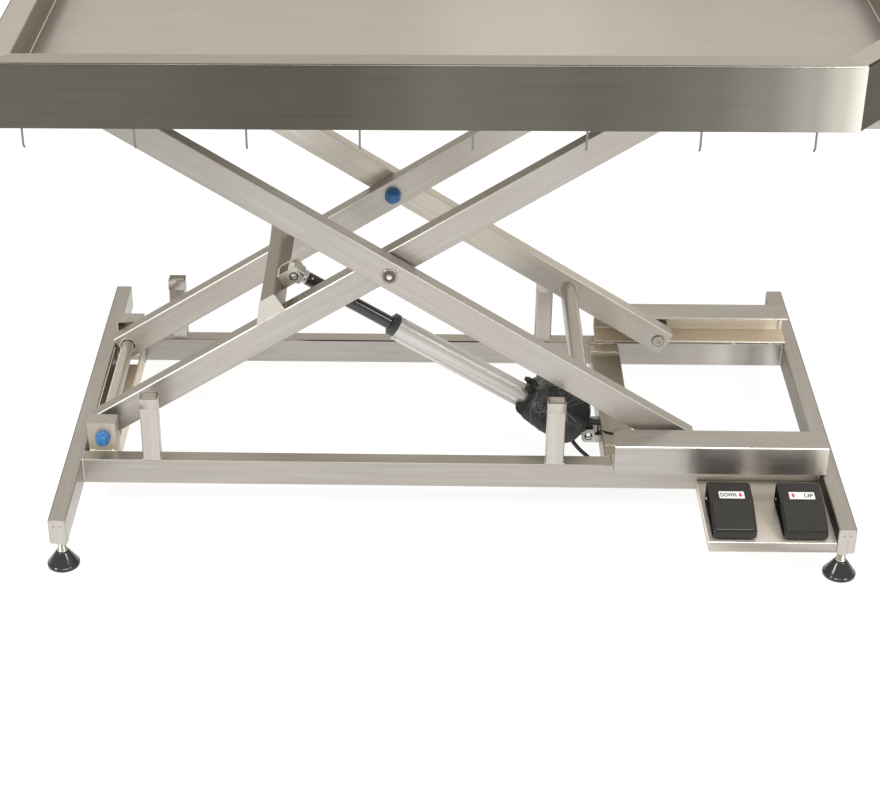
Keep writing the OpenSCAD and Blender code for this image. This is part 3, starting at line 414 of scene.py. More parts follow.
# Meshes
def link_mesh(name, bm, material, smooth=SHARP):
    mesh = bpy.data.meshes.new(name)
    bm.normal_update()
    bm.to_mesh(mesh)
    bm.free()
    if smooth:
        mesh.shade_smooth()
        mesh.set_sharp_from_angle(angle=math.radians(smooth))
    mesh.materials.append(material)
    return add_object(name, mesh)


def baked(name, data, modify=None):
    """The mesh of a curve or of a mesh after its modifiers, without leaving an object behind."""
    o = add_object(name, data)
    if modify:
        modify(o)
    mesh = bpy.data.meshes.new_from_object(o.evaluated_get(bpy.context.evaluated_depsgraph_get()))
    bpy.data.objects.remove(o)
    bm = bmesh.new()
    bm.from_mesh(mesh)
    return bm


def set_grain(o, origin, along, up=Z_AXIS):
    """Stores each point's place measured along, across and above a member."""
    along = along.normalized()
    if abs(along.dot(up)) > PARALLEL:
        up = X_AXIS
    across = up.cross(along).normalized()
    above = along.cross(across)
    at = o.data.attributes.get("grain") or o.data.attributes.new("grain", "FLOAT_VECTOR", "POINT")
    flat = []
    for v in o.data.vertices:
        d = v.co - origin
        flat += [d.dot(along), d.dot(across), d.dot(above)]
    at.data.foreach_set("vector", flat)


def weighted(o):
    m = o.modifiers.new("normals", "WEIGHTED_NORMAL")
    m.keep_sharp = True
    m.weight = 60


def piece(name, bm, material, nodes=(), body=None, along=X_AXIS, smooth=SHARP):
    """A finished piece: it rides on a body and stands for the nodes named."""
    nodes = [nodes] if isinstance(nodes, str) else list(nodes)
    o = link_mesh(name, bm, material, smooth)
    points = [v.co for v in o.data.vertices]
    set_grain(o, sum(points, Vector()) / len(points), along)
    weighted(o)
    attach(o, body or BODY_OF[nodes[0]])
    if nodes:
        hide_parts(*nodes)
    return o


def mirrored(bm):
    """Adds the same forms on the other side of the table's middle."""
    copy = bmesh.ops.duplicate(bm, geom=bm.verts[:] + bm.edges[:] + bm.faces[:])["geom"]
    for e in copy:
        if isinstance(e, bmesh.types.BMVert):
            e.co.y = -e.co.y
    bmesh.ops.reverse_faces(bm, faces=[f for f in copy if isinstance(f, bmesh.types.BMFace)])


def soft(points, radius, loop=False, steps=3):
    """The same line with its corners rounded."""
    points = [Vector(p) for p in points]
    out, n = [], len(points)
    for i, p in enumerate(points):
        if not loop and i in (0, n - 1):
            out.append(p)
            continue
        a, b = points[i - 1], points[(i + 1) % n]
        t = min(radius, (a - p).length * 0.45, (b - p).length * 0.45)
        p1, p2 = p + (a - p).normalized() * t, p + (b - p).normalized() * t
        for k in range(steps + 1):
            s = k / steps
            out.append(p1 * (1 - s) ** 2 + p * 2 * s * (1 - s) + p2 * s ** 2)
    return out


def turns(n):
    """The angles of n equal steps round a circle."""
    return [math.tau * k / n for k in range(n)]


def polar(r, t):
    return (r * math.cos(t), r * math.sin(t))


def box_outline(x0, y0, x1, y1):
    return [(x0, y0), (x1, y0), (x1, y1), (x0, y1)]


def axes_of(axis):
    a = axis.normalized()
    u = (Z_AXIS if abs(a.z) < FACING else X_AXIS).cross(a).normalized()
    return a, u, a.cross(u)


def join_rings(bm, rings, closed=False):
    for p, q in list(zip(rings, rings[1:])) + ([(rings[-1], rings[0])] if closed else []):
        n = max(len(p), len(q))
        for k in range(n):
            j = (k + 1) % n
            ring = [p[k % len(p)], p[j % len(p)], q[j % len(q)], q[k % len(q)]]
            face = list(dict.fromkeys(ring))
            if len(face) > 2:
                bm.faces.new(face)


def faces_round(verts):
    return list({f for x in verts for f in x.link_faces})


def lathe(bm, at, axis, profile, steps=48, closed=False):
    """A turned form: the profile holds places along the axis and radii, in mm."""
    a, u, v = axes_of(axis)
    rings = []
    for h, r in profile:
        centre = at + a * h * MM
        if r == 0:
            rings.append([bm.verts.new(centre)])
            continue
        rings.append([bm.verts.new(centre + (u * math.cos(t) + v * math.sin(t)) * r * MM)
                      for t in turns(steps)])
    join_rings(bm, rings, closed)
    bmesh.ops.recalc_face_normals(bm, faces=faces_round([x for ring in rings for x in ring]))


def lathed(name, at, axis, profile, material, steps=48, closed=False, **how):
    """A piece that is one turned form."""
    bm = bmesh.new()
    lathe(bm, at, axis, profile, steps, closed)
    return piece(name, bm, material, **how)


def bevel(bm, edges, width, segments, profile, material=0):
    bmesh.ops.bevel(bm, geom=edges, offset=width * MM, segments=segments, profile=profile,
                    affect="EDGES", clamp_overlap=True, material=material)


def prism(bm, outline, at, u, v, depth, edge=0.5, segments=2):
    """A plate with an outline in mm on the axes u and v, its thickness along u x v, and broken edges."""
    w = u.cross(v)
    base = [bm.verts.new(at + (u * p[0] + v * p[1]) * MM) for p in outline]
    top = [bm.verts.new(x.co + w * depth * MM) for x in base]
    join_rings(bm, [base, top])
    bm.faces.new(base[::-1])
    bm.faces.new(top)
    faces = faces_round(base + top)
    bmesh.ops.recalc_face_normals(bm, faces=faces)
    if edge:
        bm.normal_update()
        sharp = {e for f in faces for e in f.edges if len(e.link_faces) == 2}
        sharp = [e for e in sharp if e.calc_face_angle(0) > math.radians(SHARP)]
        bm.edges.index_update()
        bevel(bm, sorted(sharp, key=lambda e: e.index), edge, segments, 0.5)


def slab(bm, lo, hi, edge=0.5, segments=2, x=X_AXIS, y=Y_AXIS, at=Vector()):
    """A block between two corners in mm, on the axes x and y from a point."""
    base = at + x.cross(y) * lo[2] * MM
    prism(bm, box_outline(*lo[:2], *hi[:2]), base, x, y, hi[2] - lo[2], edge, segments)


def sweep(bm, path, radius, sides=12):
    """A round bar along a path in metres; its radius in mm is a number or a function of the share."""
    pts = [Vector(p) for p in path]
    n = len(pts)
    u = axes_of(pts[1] - pts[0])[1]
    rings = []
    for i, p in enumerate(pts):
        t = (pts[min(i + 1, n - 1)] - pts[max(i - 1, 0)]).normalized()
        u = (u - t * u.dot(t)).normalized()
        v = t.cross(u)
        r = radius(i / (n - 1)) if callable(radius) else radius
        rings.append([bm.verts.new(p + (u * math.cos(a) + v * math.sin(a)) * r * MM) for a in turns(sides)])
    join_rings(bm, rings)
    bm.faces.new(rings[0][::-1])
    bm.faces.new(rings[-1])
    bmesh.ops.recalc_face_normals(bm, faces=faces_round([x for ring in rings for x in ring]))


def plate(name, outline, at, v, depth, edge, segments, material, **how):
    """A piece that is one plate, its outline on the X axis and v."""
    bm = bmesh.new()
    prism(bm, outline, at, X_AXIS, v, depth, edge, segments)
    return piece(name, bm, material, **how)


def bar(name, path, radius, material, sides=12, **how):
    """A piece that is one round bar."""
    bm = bmesh.new()
    sweep(bm, path, radius, sides)
    return piece(name, bm, material, **how)


def paint(o, material, test):
    """Gives the faces that pass a test of normal and centre another finish."""
    o.data.materials.append(material)
    for f in o.data.polygons:
        if test(f.normal, f.center):
            f.material_index = len(o.data.materials) - 1


def lit_edge(n, c):
    """A rounded edge between the front and the top of a member."""
    return n.z > 0.22 and n.y < -0.22


def thin_edge(n, c):
    """Only the middle of such a rounded edge."""
    return n.z > 0.42 and n.y < -0.42


def rounded(node, material, width, along=X_AXIS, fine=0.4, min_len=60, edge=None, test=lit_edge):
    """A CAD piece with its long edges rounded as folded or drawn steel, and a fine break on the rest."""
    bm = bmesh.new()
    bm.from_mesh(NODES[node].data)
    bmesh.ops.remove_doubles(bm, verts=bm.verts, dist=2e-6)
    bmesh.ops.dissolve_limit(bm, angle_limit=math.radians(1.5), verts=bm.verts, edges=bm.edges)

    def sharp(e, longer):
        return (len(e.link_faces) == 2 and e.is_convex and e.calc_face_angle(0) > math.radians(CAD_SHARP)
                and e.calc_length() > longer * MM)

    long_edges = [e for e in bm.edges if sharp(e, min_len)
                  and abs((e.verts[1].co - e.verts[0].co).normalized().dot(along)) > PARALLEL]
    if long_edges:
        bevel(bm, long_edges, width, 3, 0.34, 1)
    bevel(bm, [e for e in bm.edges if sharp(e, 2)], fine, 2, 0.5)
    bm.normal_update()
    # Bevel faces of the long edges that pass the test keep the edge finish: painted highlight or painted shade on
    # that edge; the rest go back to the main finish.
    for f in bm.faces:
        if f.material_index and not (edge and test(f.normal, f.calc_center_median())):
            f.material_index = 0
    o = link_mesh(node + ".form", bm, material)
    o.data.materials.append(edge or material)
    set_grain(o, middle(node), along)
    weighted(o)
    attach(o, BODY_OF[node])
    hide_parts(node)
    return o


def dress(node, material, along=X_AXIS):
    """A CAD piece kept as it is, with its finish."""
    o = NODES[node]
    o.data.materials.clear()
    o.data.materials.append(material)
    set_grain(o, middle(node), along)


# The frame: wall of the posts, depth of their open tops, wall of the channels, and radii of the folds, in mm
POST_WALL, POST_DEPTH, CHANNEL_WALL = 1.8, 16, 3
RAIL_FOLD, TUBE_FOLD, ARM_FOLD = 1.5, 2.0, 1.6


def faces_front(n, c):
    return n.y < -FACING


def open_posts():
    """Rest posts cut from tube, with open tops."""
    o = rounded("rest_posts", post_steel, TUBE_FOLD, Z_AXIS)
    bm = bmesh.new()
    bm.from_mesh(o.data)
    top = high("rest_posts").z - 0.1 * MM
    tops = [f for f in bm.faces if f.normal.z > PARALLEL and f.calc_center_median().z > top]
    ring = bmesh.ops.inset_region(bm, faces=tops, thickness=POST_WALL * MM, use_even_offset=True)["faces"]
    tops = [f for f in tops if f.is_valid]
    walls = bmesh.ops.extrude_face_region(bm, geom=tops)["geom"]
    for v in (v for v in walls if isinstance(v, bmesh.types.BMVert)):
        v.co.z -= POST_DEPTH * MM
    bmesh.ops.delete(bm, geom=tops, context="FACES")
    # Top rims: painted highlight; faces deep inside the open tops: painted shade
    for f in ring:
        f.material_index = 1
    bm.normal_update()
    for f in bm.faces:
        if f.normal.z > PARALLEL and top - f.calc_center_median().z > 5 * MM and f.calc_area() > 1e-4:
            f.material_index = 2
    bm.to_mesh(o.data)
    bm.free()
    o.data.materials[1] = highlight_steel
    o.data.materials.append(shade_steel)


def build_channels():
    wall = CHANNEL_WALL * MM
    for node in ("front_roller_channel", "rear_roller_channel", "front_top_channel", "rear_top_channel"):
        o = rounded(node, steel, CHANNEL_WALL, fine=0.5, edge=highlight_steel)
        sign = 1 if "front" in node else -1
        web, lo, hi = middle(node).y, low(node).z + wall, high(node).z - wall
        # Inside faces: painted light and shade; the rear channel's lower flange: painted reflection; the front
        # channel's front face: painted reflections
        paint(o, channel_inner_sheen_shade_steel, lambda n, c: lo < c.z < hi and (abs(n.z) > 0.7 or (
            n.y * sign > 0.5 and (c.y - web) * sign < 0)))
        if node == "rear_roller_channel":
            paint(o, flange_reflection_steel, lambda n, c: n.z > FACING and lo < c.z < hi)
        if node == "front_roller_channel":
            paint(o, channel_pedal_reflection_steel, lambda n, c: n.y < -FACING and c.y < web)


def build_frame():
    for node, material, edge in (("front_rail", rail_steel, rail_edge_shade_steel),
                                 ("rear_rail", rear_rail_lit_shaded_steel, rear_edge_shade_steel)):
        paint(rounded(node, material, RAIL_FOLD, edge=edge), rail_top_shade_steel, lambda n, c: n.z > FACING)
    for node, side in (("base_left_tube", -1), ("base_right_tube", 1)):
        o = rounded(node, rail_steel, TUBE_FOLD, Y_AXIS, edge=shade_steel,
                    test=lambda n, c: n.x * side > 0.3 and n.z > 0.2)
        if side > 0:
            paint(o, tube_side_shadow_steel, lambda n, c: n.x < -FACING)
    build_channels()
    open_posts()
    paint(rounded("pivot_blocks", steel, 2.0, Z_AXIS, min_len=20), block_lit_steel, faces_front)
    shaded = middle("shaft_trough").x - 10 * MM
    paint(rounded("shaft_trough", trough_reflection_steel, 1.0, Y_AXIS), shade_steel,
          lambda n, c: n.x > 0.7 and c.x < shaded)
    rounded("actuator_cross_member", member_shade_sheen_steel, 3.0, Y_AXIS, min_len=40)
    paint(rounded("pedal_shelf", shelf_lit_steel, 2.0, edge=highlight_steel, test=thin_edge), rail_steel, faces_front)
    for node, material, along in (("front_inner_arm", steel, ARM_DIR),
                                  ("rear_inner_arm", rear_lit_steel, ARM_DIR),
                                  ("front_outer_arm", front_arm_shaded_steel, OUTER_DIR),
                                  ("rear_outer_arm", rear_outer_lit_shaded_steel, OUTER_DIR)):
        o = rounded(node, material, ARM_FOLD, along, edge=arm_highlight_steel, test=thin_edge)
        if along == ARM_DIR:
            paint(o, arm_top_shade_steel, lambda n, c: n.z > 0.8)
    paint(rounded("arm_crossbar", crossbar_shade_steel, TUBE_FOLD, Y_AXIS), crossbar_lit_steel, lambda n, c: abs(n.y) > FACING)
    rounded("top_cross_tubes", steel, TUBE_FOLD, Y_AXIS)


# The tray as one folded sheet: sizes in mm
TRAY_NODES = ("tray_floor", "tray_front_side", "tray_rear_side", "tray_left_end", "tray_right_end",
              "tray_corners")
RIM_Z, SKIRT_Z = mm(high("tray_front_side").z), mm(low("tray_front_side").z)
FLOOR_Z = mm(high("tray_floor").z)
SKIRT_LIP, FOLD, FILLET, CORNER, SHEET = 12, 2.6, 2.5, 2.5, 1.5
CORNER_GROWS = 0.06
BAND_STEPS, CORNER_STEPS = 4, 4


def tray_outline(d):
    """The tray's six corners, set in by d mm."""
    x0, x1 = mm(low("tray_left_end").x), mm(high("tray_right_end").x)
    y0, y1 = mm(low("tray_front_side").y), mm(high("tray_rear_side").y)
    clip_x, clip_y = x1 - mm(high("tray_front_side").x), mm(low("tray_right_end").y) - y0
    slant = math.hypot(clip_x, clip_y)
    a = x1 - clip_x - d * (slant - clip_x) / clip_y
    b = y0 + clip_y + d * (slant - clip_y) / clip_x
    return [(x0 + d, y0 + d), (a, y0 + d), (x1 - d, b), (x1 - d, -b), (a, y1 - d), (x0 + d, y1 - d)]


def tray_bands():
    """The sheet's section from the skirt's lip to the floor, as (part, distance in from the edge, height)."""
    quarter = [(t, 1 - math.sin(t), 1 - math.cos(t))
               for t in (math.pi / 2 * k / BAND_STEPS for k in range(BAND_STEPS + 1))]
    bands = [("skirt", SKIRT_LIP, SKIRT_Z)]
    bands += [("skirt", FOLD * s, SKIRT_Z + FOLD * c) for t, s, c in quarter]
    bands += [("skirt", FOLD * c, RIM_Z - FOLD * s) for t, s, c in quarter]
    # The middle of the rim's fold and the fillet's lower half (the "line") can take painted highlights in
    # tray_look
    bands += [("fold" if 0.3 < t < 0.9 else "rim", RIM_W - FOLD * s, RIM_Z - FOLD * c) for t, s, c in quarter]
    bands += [("line" if t > 1.2 else "wall", RIM_W + FILLET * c, FLOOR_Z + FILLET * s)
              for t, s, c in quarter]
    return bands + [("floor", RIM_W + d, FLOOR_Z) for d in (14, 40, 80, 120)]


def tray_look(part, side, straight):
    """One face's finish: painted reflections on the skirts, painted shade at the ends and on the walls, painted
    highlights on folds and corners, painted light and shade on rims and floor. Sides run round from the front: 1
    and 3 are the clipped corners, 2 lies between.
    """
    if part == "skirt" and straight:
        return {1: clip_reflection_steel, 2: end_shade_steel, 3: end_shade_steel}.get(side, skirt_reflection_steel)
    if part == "skirt":
        return {1: highlight_steel, 4: highlight_steel, 2: clip_reflection_steel, 3: end_shade_steel}.get(side, skirt_reflection_steel)
    # The middle of the front fold: a lighter steel, painted highlight
    if part == "fold" and side == 0:
        return post_steel
    if part in ("rim", "fold"):
        return rim_sheen_steel if straight and side in (0, 4) else rim_side_lit_steel
    return {"floor": tray_sheen_shade_steel, "wall": wall_shade_steel, "line": highlight_steel}[part]


def set_tray_grain(mesh):
    """The grain runs along each side of the tray, and lengthways on its floor."""
    mesh.attributes.remove(mesh.attributes["grain"])
    grain = mesh.attributes.new("grain", "FLOAT_VECTOR", "CORNER")
    rim_x = high("tray_right_end").x - RIM_W * MM
    flat = [0.0] * (3 * len(mesh.loops))
    for f in mesh.polygons:
        n = f.normal
        level = abs(n.z) > FACING
        end = abs(n.x) > FACING or (level and f.center.z > (RIM_Z - 1) * MM and abs(f.center.x) > rim_x)
        along = Y_AXIS if end else X_AXIS
        if not level and not end and abs(n.x) > 0.2:
            along = Vector((-n.y, n.x, 0)).normalized()
        across = Z_AXIS.cross(along)
        for k in f.loop_indices:
            c = mesh.vertices[mesh.loops[k].vertex_index].co
            flat[3 * k:3 * k + 3] = [c.dot(along), c.dot(across), c.z]
    grain.data.foreach_set("vector", flat)


def build_tray():
    bm = bmesh.new()
    rings = []
    looks = [tray_sheen_shade_steel, skirt_reflection_steel, clip_reflection_steel, end_shade_steel, highlight_steel, rim_sheen_steel, rim_side_lit_steel,
             wall_shade_steel, post_steel]
    for i, (part, d, z) in enumerate(tray_bands()):
        outline = soft([(x, y, z) for x, y in tray_outline(d)], CORNER + CORNER_GROWS * min(d, RIM_W), True,
                       CORNER_STEPS)
        rings.append([bm.verts.new(q * MM) for q in outline])
        if i:
            count = len(bm.faces)
            join_rings(bm, rings[-2:])
            bm.faces.ensure_lookup_table()
            for k in range(count, len(bm.faces)):
                side, step = divmod(k - count, CORNER_STEPS + 1)
                bm.faces[k].material_index = looks.index(tray_look(part, side, step == CORNER_STEPS))
    bm.faces.new(rings[-1])
    bm.normal_update()
    o = piece("tray_sheet", bm, tray_sheen_shade_steel, TRAY_NODES, smooth=40)
    for m in looks[1:]:
        o.data.materials.append(m)
    set_tray_grain(o.data)
    m = o.modifiers.new("sheet", "SOLIDIFY")
    m.thickness = SHEET * MM
    m.offset = -1
    o.modifiers.move(1, 0)


HOOK_DIP = math.radians(45)
HOOK_R, HOOK_BEND, HOOK_TIP, HOOK_DROP, HOOK_INTO = 1.45, 3, 7, 4, 0.6


def build_hooks():
    """Bent wire hooks under both long sides, at the places that the solids give."""
    xs = sorted({round(v.co.x, 3) for v in NODES["tray_hooks"].data.vertices
                 if v.co.z > low("tray_front_side").z - 1e-5})
    groups = []
    for x in xs:
        if not groups or x - groups[-1][-1] > 0.01:
            groups.append([])
        groups[-1].append(x)
    z = mm(low("tray_hooks").z) + HOOK_R + HOOK_DROP
    y = mm(low("tray_front_side").y) + HOOK_R + SHEET
    bm = bmesh.new()
    for g in groups:
        x = mm((g[0] + g[-1]) / 2)
        line = [(x, y, SKIRT_Z + HOOK_INTO), (x, y, z)]
        line += [(x, y + HOOK_BEND * (1 - math.cos(t)), z - HOOK_BEND * math.sin(t))
                 for t in ((math.pi / 2 - HOOK_DIP) * k / 6 for k in range(1, 7))]
        last = line[-1]
        line += [(x, last[1] + k * math.cos(HOOK_DIP), last[2] - k * math.sin(HOOK_DIP))
                 for k in (HOOK_TIP - HOOK_INTO, HOOK_TIP)]
        sweep(bm, [Vector(q) * MM for q in line], lambda s: HOOK_R if s < 0.99 else HOOK_R * 0.7, 14)
    mirrored(bm)
    piece("hook_wires", bm, wire, "tray_hooks", along=Z_AXIS)


# Turned parts across the table: profiles go outwards from the middle plane
ROLLER_LOW = Vector((middle("front_lower_roller").x, 0, LIFT_PIVOT.z))
ROLLER_TOP = Vector((ROLLER_LOW.x, 0, middle("front_upper_roller").z))
TOP_PIVOT = Vector((LIFT_PIVOT.x, 0, ROLLER_TOP.z))
BOLT_FACE, BOLT_HUB = 8.8, 4.3


def rod(half, r):
    return [(-half, 0), (-half, r), (half, r), (half, 0)]


def sleeve(a, b, inner, outer):
    return [(a, inner), (a, outer), (b, outer), (b, inner)]


def turned_form(node, at, profile, material, both=True, closed=False, radius=0.6):
    bm = bmesh.new()
    lathe(bm, Vector((at.x, 0, at.z)), -Y_AXIS, soft(profile, radius, closed, 2), 56, closed)
    if both:
        mirrored(bm)
    return piece(node + ".form", bm, material, node, along=Y_AXIS)


def cap_profile(start, length, r):
    """A push-on cap with two raised rings and a domed end."""
    return [(start + d, wide) for d, wide in (
        (0, 0), (0, r), (2.4, r), (3, r - 0.9), (4.2, r - 0.9), (4.8, r), (7, r), (7.8, r - 1.1),
        (length - 5, r - 1.5), (length - 1.6, r - 4), (length - 0.3, r - 7), (length, 0))]


def build_centre_bolts():
    bolt = [(INNER_IN, 0), (INNER_IN, 7), (INNER_OUT, 7), (INNER_OUT, 13), (OUTER_IN - 0.4, 13),
            (OUTER_IN - 0.4, 7)]
    bolt += [(OUTER_OUT + d, r) for d, r in (
        (0.2, 7), (0.2, 10.6), (1.6, 11.2), (2.3, 10.2), (1.2, 8.6), (0.6, 6.0), (0.8, 4.4), (3.8, 4.2),
        (5.2, 3.2), (5.8, 1.8), (5.4, 0))]
    o = turned_form("centre_bolts", CROSS, bolt, pin_steel, radius=0.25)

    def on_head(inner, outer):
        return lambda n, c: (inner < mm(math.hypot(c.x - CROSS.x, c.z - CROSS.z)) <= outer
                             and abs(mm(c.y)) > OUTER_OUT)

    paint(o, shade_steel, on_head(BOLT_HUB, BOLT_FACE))
    paint(o, chrome, on_head(-1, BOLT_HUB))
    inner_end = min(abs(mm(v.co.y)) for v in NODES["centre_cap_nuts"].data.vertices)
    profile = [(2 * INNER_IN - h, r) for h, r in cap_profile(INNER_IN, INNER_IN - inner_end, 12)]
    turned_form("centre_cap_nuts", CROSS, profile, blue, radius=0.5)


def build_turned():
    half = mm(high("pivot_shaft").y)
    turned_form("pivot_shaft", LIFT_PIVOT, rod(half, 10), turned, False)
    cap_r, cap_l = mm(high("shaft_caps").z - middle("shaft_caps").z) - 1, mm(high("shaft_caps").y) - half
    turned_form("shaft_caps", LIFT_PIVOT, cap_profile(half, cap_l, cap_r), blue, radius=0.5)
    turned_form("arm_bushes", LIFT_PIVOT, sleeve(INNER_IN, INNER_OUT, 10.05, 13), nylon, closed=True)
    turned_form("upper_roller_shaft", ROLLER_TOP, rod(mm(high("upper_roller_shaft").y), 8), turned, False)
    head = [(OUTER_IN + d, r) for d, r in (
        (-2, 0), (-1.5, 2.2), (-1.2, 2.8), (-2, 4), (-2, 8.4), (-0.9, 8.8), (-0.9, 9.3), (-1.6, 9.8),
        (-1.2, 10), (0, 10), (0, 8))]
    for node, at, material in (("lower_roller_axles", ROLLER_LOW, pin_steel),
                               ("upper_pivot_pins", TOP_PIVOT, bright)):
        end = mm(high(node).y)
        turned_form(node, at, head + [(end, 8), (end, 0)], material, radius=0.5)
    turned_form("arm_brace_tube", middle("arm_brace_tube"), sleeve(-OUTER_IN, OUTER_IN, 10.5, 12.5),
                brace_steel, False, closed=True, radius=0.3)
    for node, at in (("front_lower_roller", ROLLER_LOW), ("rear_lower_roller", ROLLER_LOW),
                     ("front_upper_roller", ROLLER_TOP), ("rear_upper_roller", ROLLER_TOP)):
        r, a, b = mm(high(node).z - at.z), -mm(high(node).y), -mm(low(node).y)
        rim = [(a, 8.05), (a, r - 2), (a + 1.5, r), (b - 1.5, r), (b, r - 2), (b, 8.05)]
        turned_form(node, at, rim, nylon, False, closed=True, radius=0.5)
    build_centre_bolts()


# Ends of the base tubes, and the feet
PLATE_GAP, PLATE_T, PIT_APART, PIT_DOWN = 0.6, 1.4, 4.5, 11
NUT_FLATS, NUT_TURN = 19, 0.3
FOOT_PAD = [(10, 18.7), (15, 15.2), (20, 11.6), (23, 9.4), (24, 8.4), (24, 0)]
STUD_FOOT = [(23.5, 0), (23.5, 7.2), (24.4, 7.6), (26.2, 7.6), (27, 6.8), (27, 6)]
THREAD_FROM, THREAD_PITCH = 27.2, 1.75


def build_end_plates():
    """Thin closing plates on the ends of the base tubes, each with two small pits."""
    plates, pits = bmesh.new(), bmesh.new()
    for node in ("base_left_tube", "base_right_tube"):
        x0, x1, y = mm(low(node).x), mm(high(node).x), low(node).y
        outline = soft(box_outline(x0 + PLATE_GAP, BASE_Z + PLATE_GAP, x1 - PLATE_GAP, BASE_TOP - PLATE_GAP),
                       5, True, 5)
        prism(plates, outline, Vector((0, y + 0.5 * MM, 0)), X_AXIS, Z_AXIS, PLATE_T, 0.4, 2)
        for x in (-PIT_APART, PIT_APART):
            at = Vector(((x0 + x1) / 2 * MM + x * MM, y - 0.75 * MM, (BASE_TOP - PIT_DOWN) * MM))
            lathe(pits, at, -Y_AXIS, [(0, 0), (0, 1.1), (0.25, 0.9), (0.25, 0)], 16)
    for bm, name, material in ((plates, "end_plates", post_steel), (pits, "end_pits", shade_steel)):
        mirrored(bm)
        piece(name, bm, material, body="base", along=Z_AXIS)


def hexagon(flats, turn):
    return [polar(flats / math.sqrt(3), t + turn) for t in turns(6)]


def build_feet():
    bm = bmesh.new()
    nut_z = mm(low("foot_nuts").z)
    for n in ("front_left", "rear_left", "front_right", "rear_right"):
        at = middle("levelling_foot_" + n)
        prism(bm, hexagon(NUT_FLATS, NUT_TURN), Vector((at.x, at.y, nut_z * MM)), X_AXIS, Y_AXIS,
              BASE_Z - nut_z, 0.9, 2)
    piece("foot_nuts.form", bm, bright, "foot_nuts", along=Z_AXIS)
    for n in ("front_left", "front_right", "rear_left", "rear_right"):
        node = "levelling_foot_" + n
        at = Vector((middle(node).x, middle(node).y, 0))
        radius, top = mm(high(node).x - at.x), mm(high(node).z)
        pad = [(0, 0), (0, radius - 1), (0.8, radius), (3.6, radius), (4.8, radius - 0.4),
               (5.8, radius - 1.6)]
        lathed("foot_pad_" + n, at, Z_AXIS, soft(pad + FOOT_PAD, 0.6), gloss, 72, nodes=node, along=Z_AXIS)
        line, h = list(STUD_FOOT), THREAD_FROM
        while h < top - 2 * THREAD_PITCH:
            line += [(h, 6), (h + THREAD_PITCH / 2, 5.2)]
            h += THREAD_PITCH
        line += [(top - 1, 5.6), (top, 4.6), (top, 0)]
        lathed("foot_stud_" + n, at, Z_AXIS, line, bright, 32, body=BODY_OF[node], along=Z_AXIS)


# The actuator: places along it from the rod pin, across it and above it, in mm
TUBE_R, TUBE_HALF, TUBE_SHOULDER, TUBE_IN_CASE = 16, 13.5, 9.6, 9
COLLAR_R, PISTON_BORE, PISTON_R = 17, 7.6, 10
EYE = Vector((low("actuator_lugs").x + 10 * MM, ROD.y,
              (low("actuator_lugs").z + high("actuator_lugs").z) / 2))


def on_act(s, side, up):
    return ROD + (ACT_DIR * s + Y_AXIS * side + ACT_UP * up) * MM


def along_act(node):
    """Where a node of the actuator starts and ends along its axis."""
    places = [mm((v.co - ROD).dot(ACT_DIR)) for v in NODES[node].data.vertices]
    return min(places), max(places)


def build_tube():
    a, b = along_act("actuator_tube")
    b += TUBE_IN_CASE
    r, half, shoulder = TUBE_R, TUBE_HALF, TUBE_SHOULDER
    right = [(half - 1.2, -r), (half, -r + 1.2), (half, -shoulder - 1.0), (half - 0.9, -shoulder - 0.5),
             (half, -shoulder)]
    arc = [polar(r, math.radians(-34 + 248 * k / 40)) for k in range(1, 40)]
    section = right + arc + [(-x, y) for x, y in right[::-1]]
    bm = bmesh.new()
    rings = [[bm.verts.new(on_act(s, x * size, y * size)) for x, y in section]
             for s, size in ((a, 0.965), (a + 0.5, 1), (b - 0.5, 1), (b, 0.965))]
    join_rings(bm, rings)
    bm.faces.new(rings[0])
    bm.faces.new(rings[-1])
    bmesh.ops.recalc_face_normals(bm, faces=bm.faces[:])
    piece("tube_extrusion", bm, aluminium, "actuator_tube", along=ACT_DIR, smooth=30)

    bm = bmesh.new()
    for s, drop in ((a + 5, -12.6), (b - 5, -4.5)):
        for side in (-1, 1):
            lathe(bm, on_act(s, side * half, drop), Y_AXIS * side,
                  [(-0.5, 0), (-0.5, 1.9), (0.5, 1.9), (0.9, 1.3), (0.5, 0.9), (0.5, 0)], 20)
        lathe(bm, on_act(s, 0, r), ACT_UP, [(-0.5, 0), (-0.5, 2.1), (0.5, 2.1), (0.9, 1.4), (0.5, 0)], 20)
    piece("tube_screws", bm, bright, body="actuator_body", along=ACT_DIR)


def build_piston():
    a, b = along_act("tube_collar")
    r = COLLAR_R
    collar = [(a, 10.05), (a, 13), (a + 1.4, 14.6), (a + 2.4, r), (a + 4, r), (a + 4.6, r - 0.8),
              (a + 5.4, r - 0.8), (a + 6, r), (b - 0.6, r), (b, r - 0.6), (b, 10.05)]
    lathed("collar_form", ROD, ACT_DIR, soft(collar, 0.4, True, 2), collar_grey, 56, True,
           nodes="tube_collar", along=ACT_DIR)
    a, b = along_act("piston_tube")
    tube = [(a, PISTON_BORE), (a, 9.2), (a + 1.2, PISTON_R), (b, PISTON_R), (b, PISTON_BORE)]
    lathed("piston_form", ROD, ACT_DIR, tube, piston_black, 56, True, nodes="piston_tube", along=ACT_DIR)
    lathed("piston_plug", on_act(a + 7, -7.2, 7.2), ACT_UP - Y_AXIS,
           [(-0.4, 0), (-0.4, 1.5), (0.25, 1.4), (0.3, 0)], white, 16, body="actuator_rod", along=ACT_DIR)


